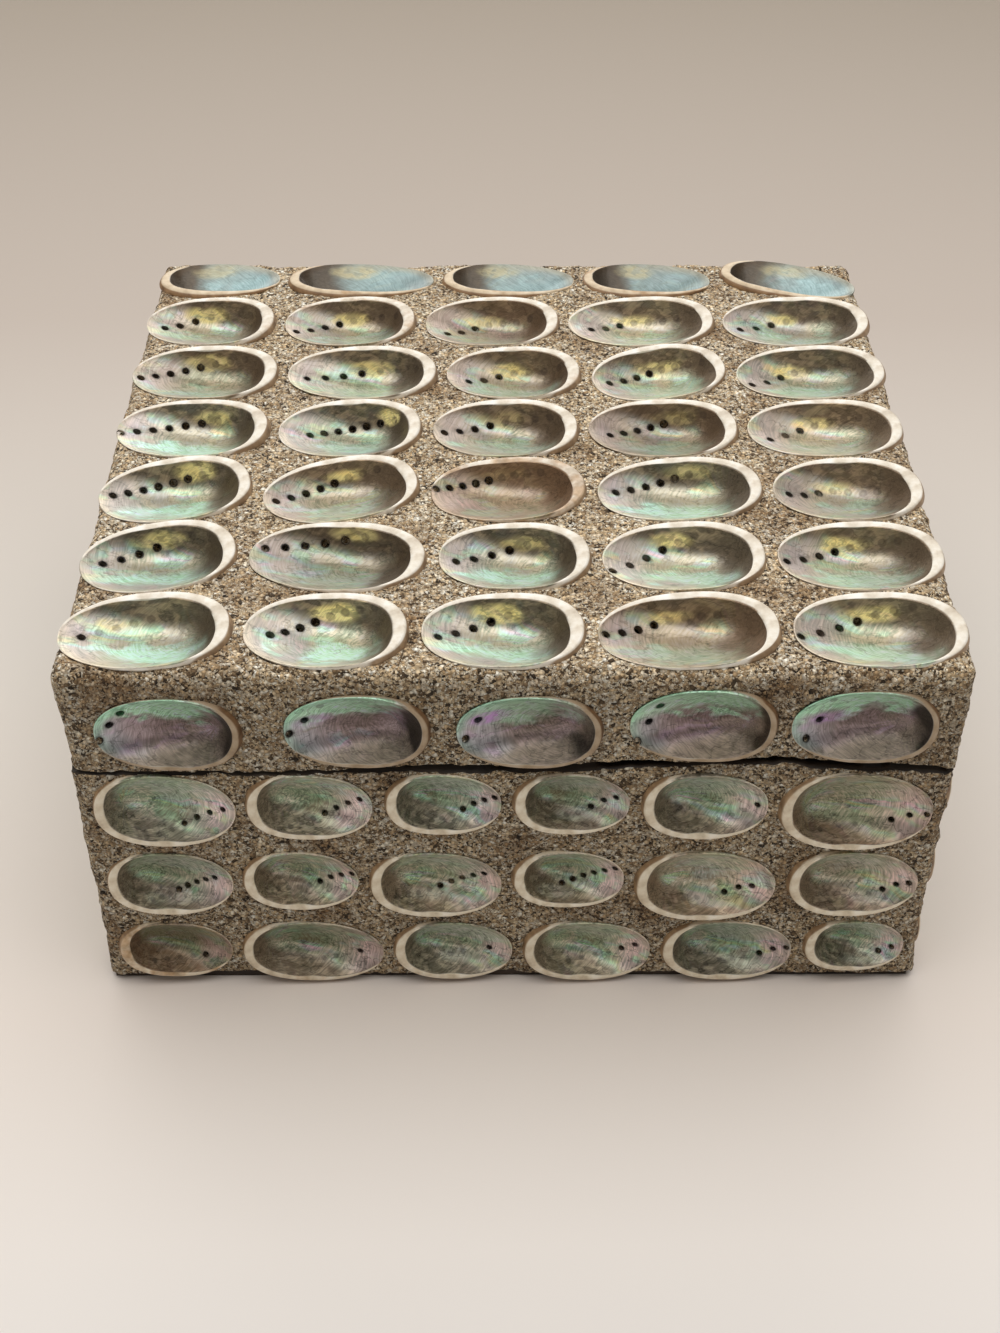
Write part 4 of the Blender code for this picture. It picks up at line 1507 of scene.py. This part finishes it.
def build_shell(shell, seed, steps=SHELL_STEPS, bowl_rings=BOWL_RINGS):
    bm = spin_profile(bowl_rings + 1 + RINGS_AFTER_BOWL, steps)
    form_shell(bm, shell, seed, bowl_rings)
    bmesh.ops.remove_doubles(bm, verts=bm.verts, dist=0.01 * MM)
    bmesh.ops.recalc_face_normals(bm, faces=bm.faces)
    if shell.hand < 0:
        mirrored(bm)
    row, filled, gold = find_row(bm, shell)
    if shell.kind == "back row":
        row, filled = [], []
        gold = Vector(np.multiply(BACK_ROW_GOLD, (shell.length, shell.width, MM)))
    piece = finish_piece(shell.name + "_pearl", bm, (ABALONE[shell.kind],))
    if row:
        piece.data = drill_pores(piece, row, PORE_SIZES[shell.kind], seed)
    mesh = piece.data
    flip = Matrix.Diagonal((1, shell.hand, 1, 1))
    mesh.transform(flip)
    row = [(flip @ spot, way) for spot, way in row]
    filled = [flip @ spot for spot in filled]
    mood = MOODS.get(shell.name, random_mood(seed))
    accent = ACCENTS.get(shell.name, random_accent(seed))
    mark_shell(mesh, shell, row, filled, flip @ gold, mood, accent)
    mesh.transform(shell.matrix @ flip)
    mesh.polygons.foreach_set("use_smooth", [True] * len(mesh.polygons))
    mesh.set_sharp_from_angle(angle=math.radians(SHELL_CREASE))
    return piece


# %% Build the shells on the top and the front
pearl_pieces = {}
for seed, shell in enumerate(lid_shells + base_shells):
    pearl_pieces[shell.name] = build_shell(shell, seed)
print("shells:", len(pearl_pieces), "faces each:", len(pearl_pieces["top_shell_1_1"].data.polygons))

# %% Build the shells on the sides turned away
SIDE_SEED = 200
SEEDS_PER_SIDE = 20


def join_shells(name, shells, seed):
    pieces = [
        build_shell(shell, seed + step, HIDDEN_STEPS, HIDDEN_BOWL_RINGS)
        for step, shell in enumerate(shells)
    ]
    with bpy.context.temp_override(active_object=pieces[0], selected_editable_objects=pieces):
        bpy.ops.object.join()
    pieces[0].name = name
    return pieces[0]


side_pieces = {}
seed = SIDE_SEED
for face in HIDDEN_FACES:
    for body, shells in (("lid", hidden_lid), ("base", hidden_base)):
        name = f"{body}_{face}_shells"
        side_pieces[name] = join_shells(name, shells[face], seed)
        seed += SEEDS_PER_SIDE
print("side pieces:", list(side_pieces))

# %% [markdown]
# ## The studio
# The box stands on a plain floor that is pale in front, painted darker behind as painted shade, and
# warmer just in front of the box as painted shadow. A wide soft light hangs over it, and a weaker one
# stands behind. Together they give the shells their bright glints and leave the front in soft shade,
# as a window behind a table would.
# %% Floor
def build_floor():
    bm = bmesh.new()
    bmesh.ops.create_grid(bm, x_segments=8, y_segments=8, size=4)
    material, tree, shader = new_material("pale_floor")
    spot = add_node(tree, "SeparateXYZ", {"Vector": add_node(tree, "TexCoord").outputs["Object"]})
    run = add_node(tree, "MapRange", {"Value": spot.outputs["Y"], 1: -0.25, 2: 0.75}).outputs[0]
    # Painted shade: darker towards the back, and a warmer band just in front of the box as painted shadow.
    colour = colour_steps(tree, run, (
        (0.00, (0.83, 0.80, 0.77)),
        (0.12, (0.85, 0.78, 0.72)),
        (0.30, (0.70, 0.66, 0.61)),
        (0.55, (0.51, 0.45, 0.40)),
        (1.00, (0.33, 0.285, 0.235)),
    ))
    set_inputs(tree, shader, {"Base Color": colour, "Roughness": 0.7, "Specular IOR Level": 0.2})
    floor = finish_piece("pale_floor", bm, (material,))
    return floor


build_floor()

# %% Lights
def add_softbox(name, spot, target, size, power, colour):
    light = bpy.data.lights.new(name, "AREA")
    light.shape = "RECTANGLE"
    light.size, light.size_y = size
    light.energy = power
    light.color = colour
    lamp = bpy.data.objects.new(name, light)
    lamp.location = spot
    lamp.rotation_euler = (Vector(target) - Vector(spot)).to_track_quat("-Z", "Y").to_euler()
    bpy.context.scene.collection.objects.link(lamp)


add_softbox("sky_softbox", (0.0, 0.03, 1.6), (0, 0, 0), (2.4, 1.96), 29, (1.0, 0.97, 0.94))
add_softbox("back_softbox", (-0.1, 1.50, 0.78), (0, 0, 0.1), (2.2, 0.9), 12, (1.0, 0.98, 0.95))

world = bpy.data.worlds.new("studio_air")
world.use_nodes = True
world.node_tree.nodes["Background"].inputs["Color"].default_value = (0.95, 0.90, 0.84, 1)
world.node_tree.nodes["Background"].inputs["Strength"].default_value = 0.24
bpy.context.scene.world = world
bpy.context.scene.view_settings.view_transform = "Standard"

# %% [markdown]
# ## Tie the pieces to the CAD model
# Each piece rides on the box's one body, and the CAD nodes that it stands for are hidden.
# %% Ride and replace
def tie(piece, slot, *nodes):
    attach(piece, "root")
    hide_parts(*nodes)


tie(lid_body, "sand_mortar", "lid")
tie(base_body, "sand_mortar", "base")
tie(base_liner, "board", "base")
for node, piece in pearl_pieces.items():
    tie(piece, "abalone_shell", node)
for name, piece in side_pieces.items():
    tie(piece, "abalone_shell", name.split("_")[0])
print("pieces tied:", len(pearl_pieces) + len(side_pieces) + 3)
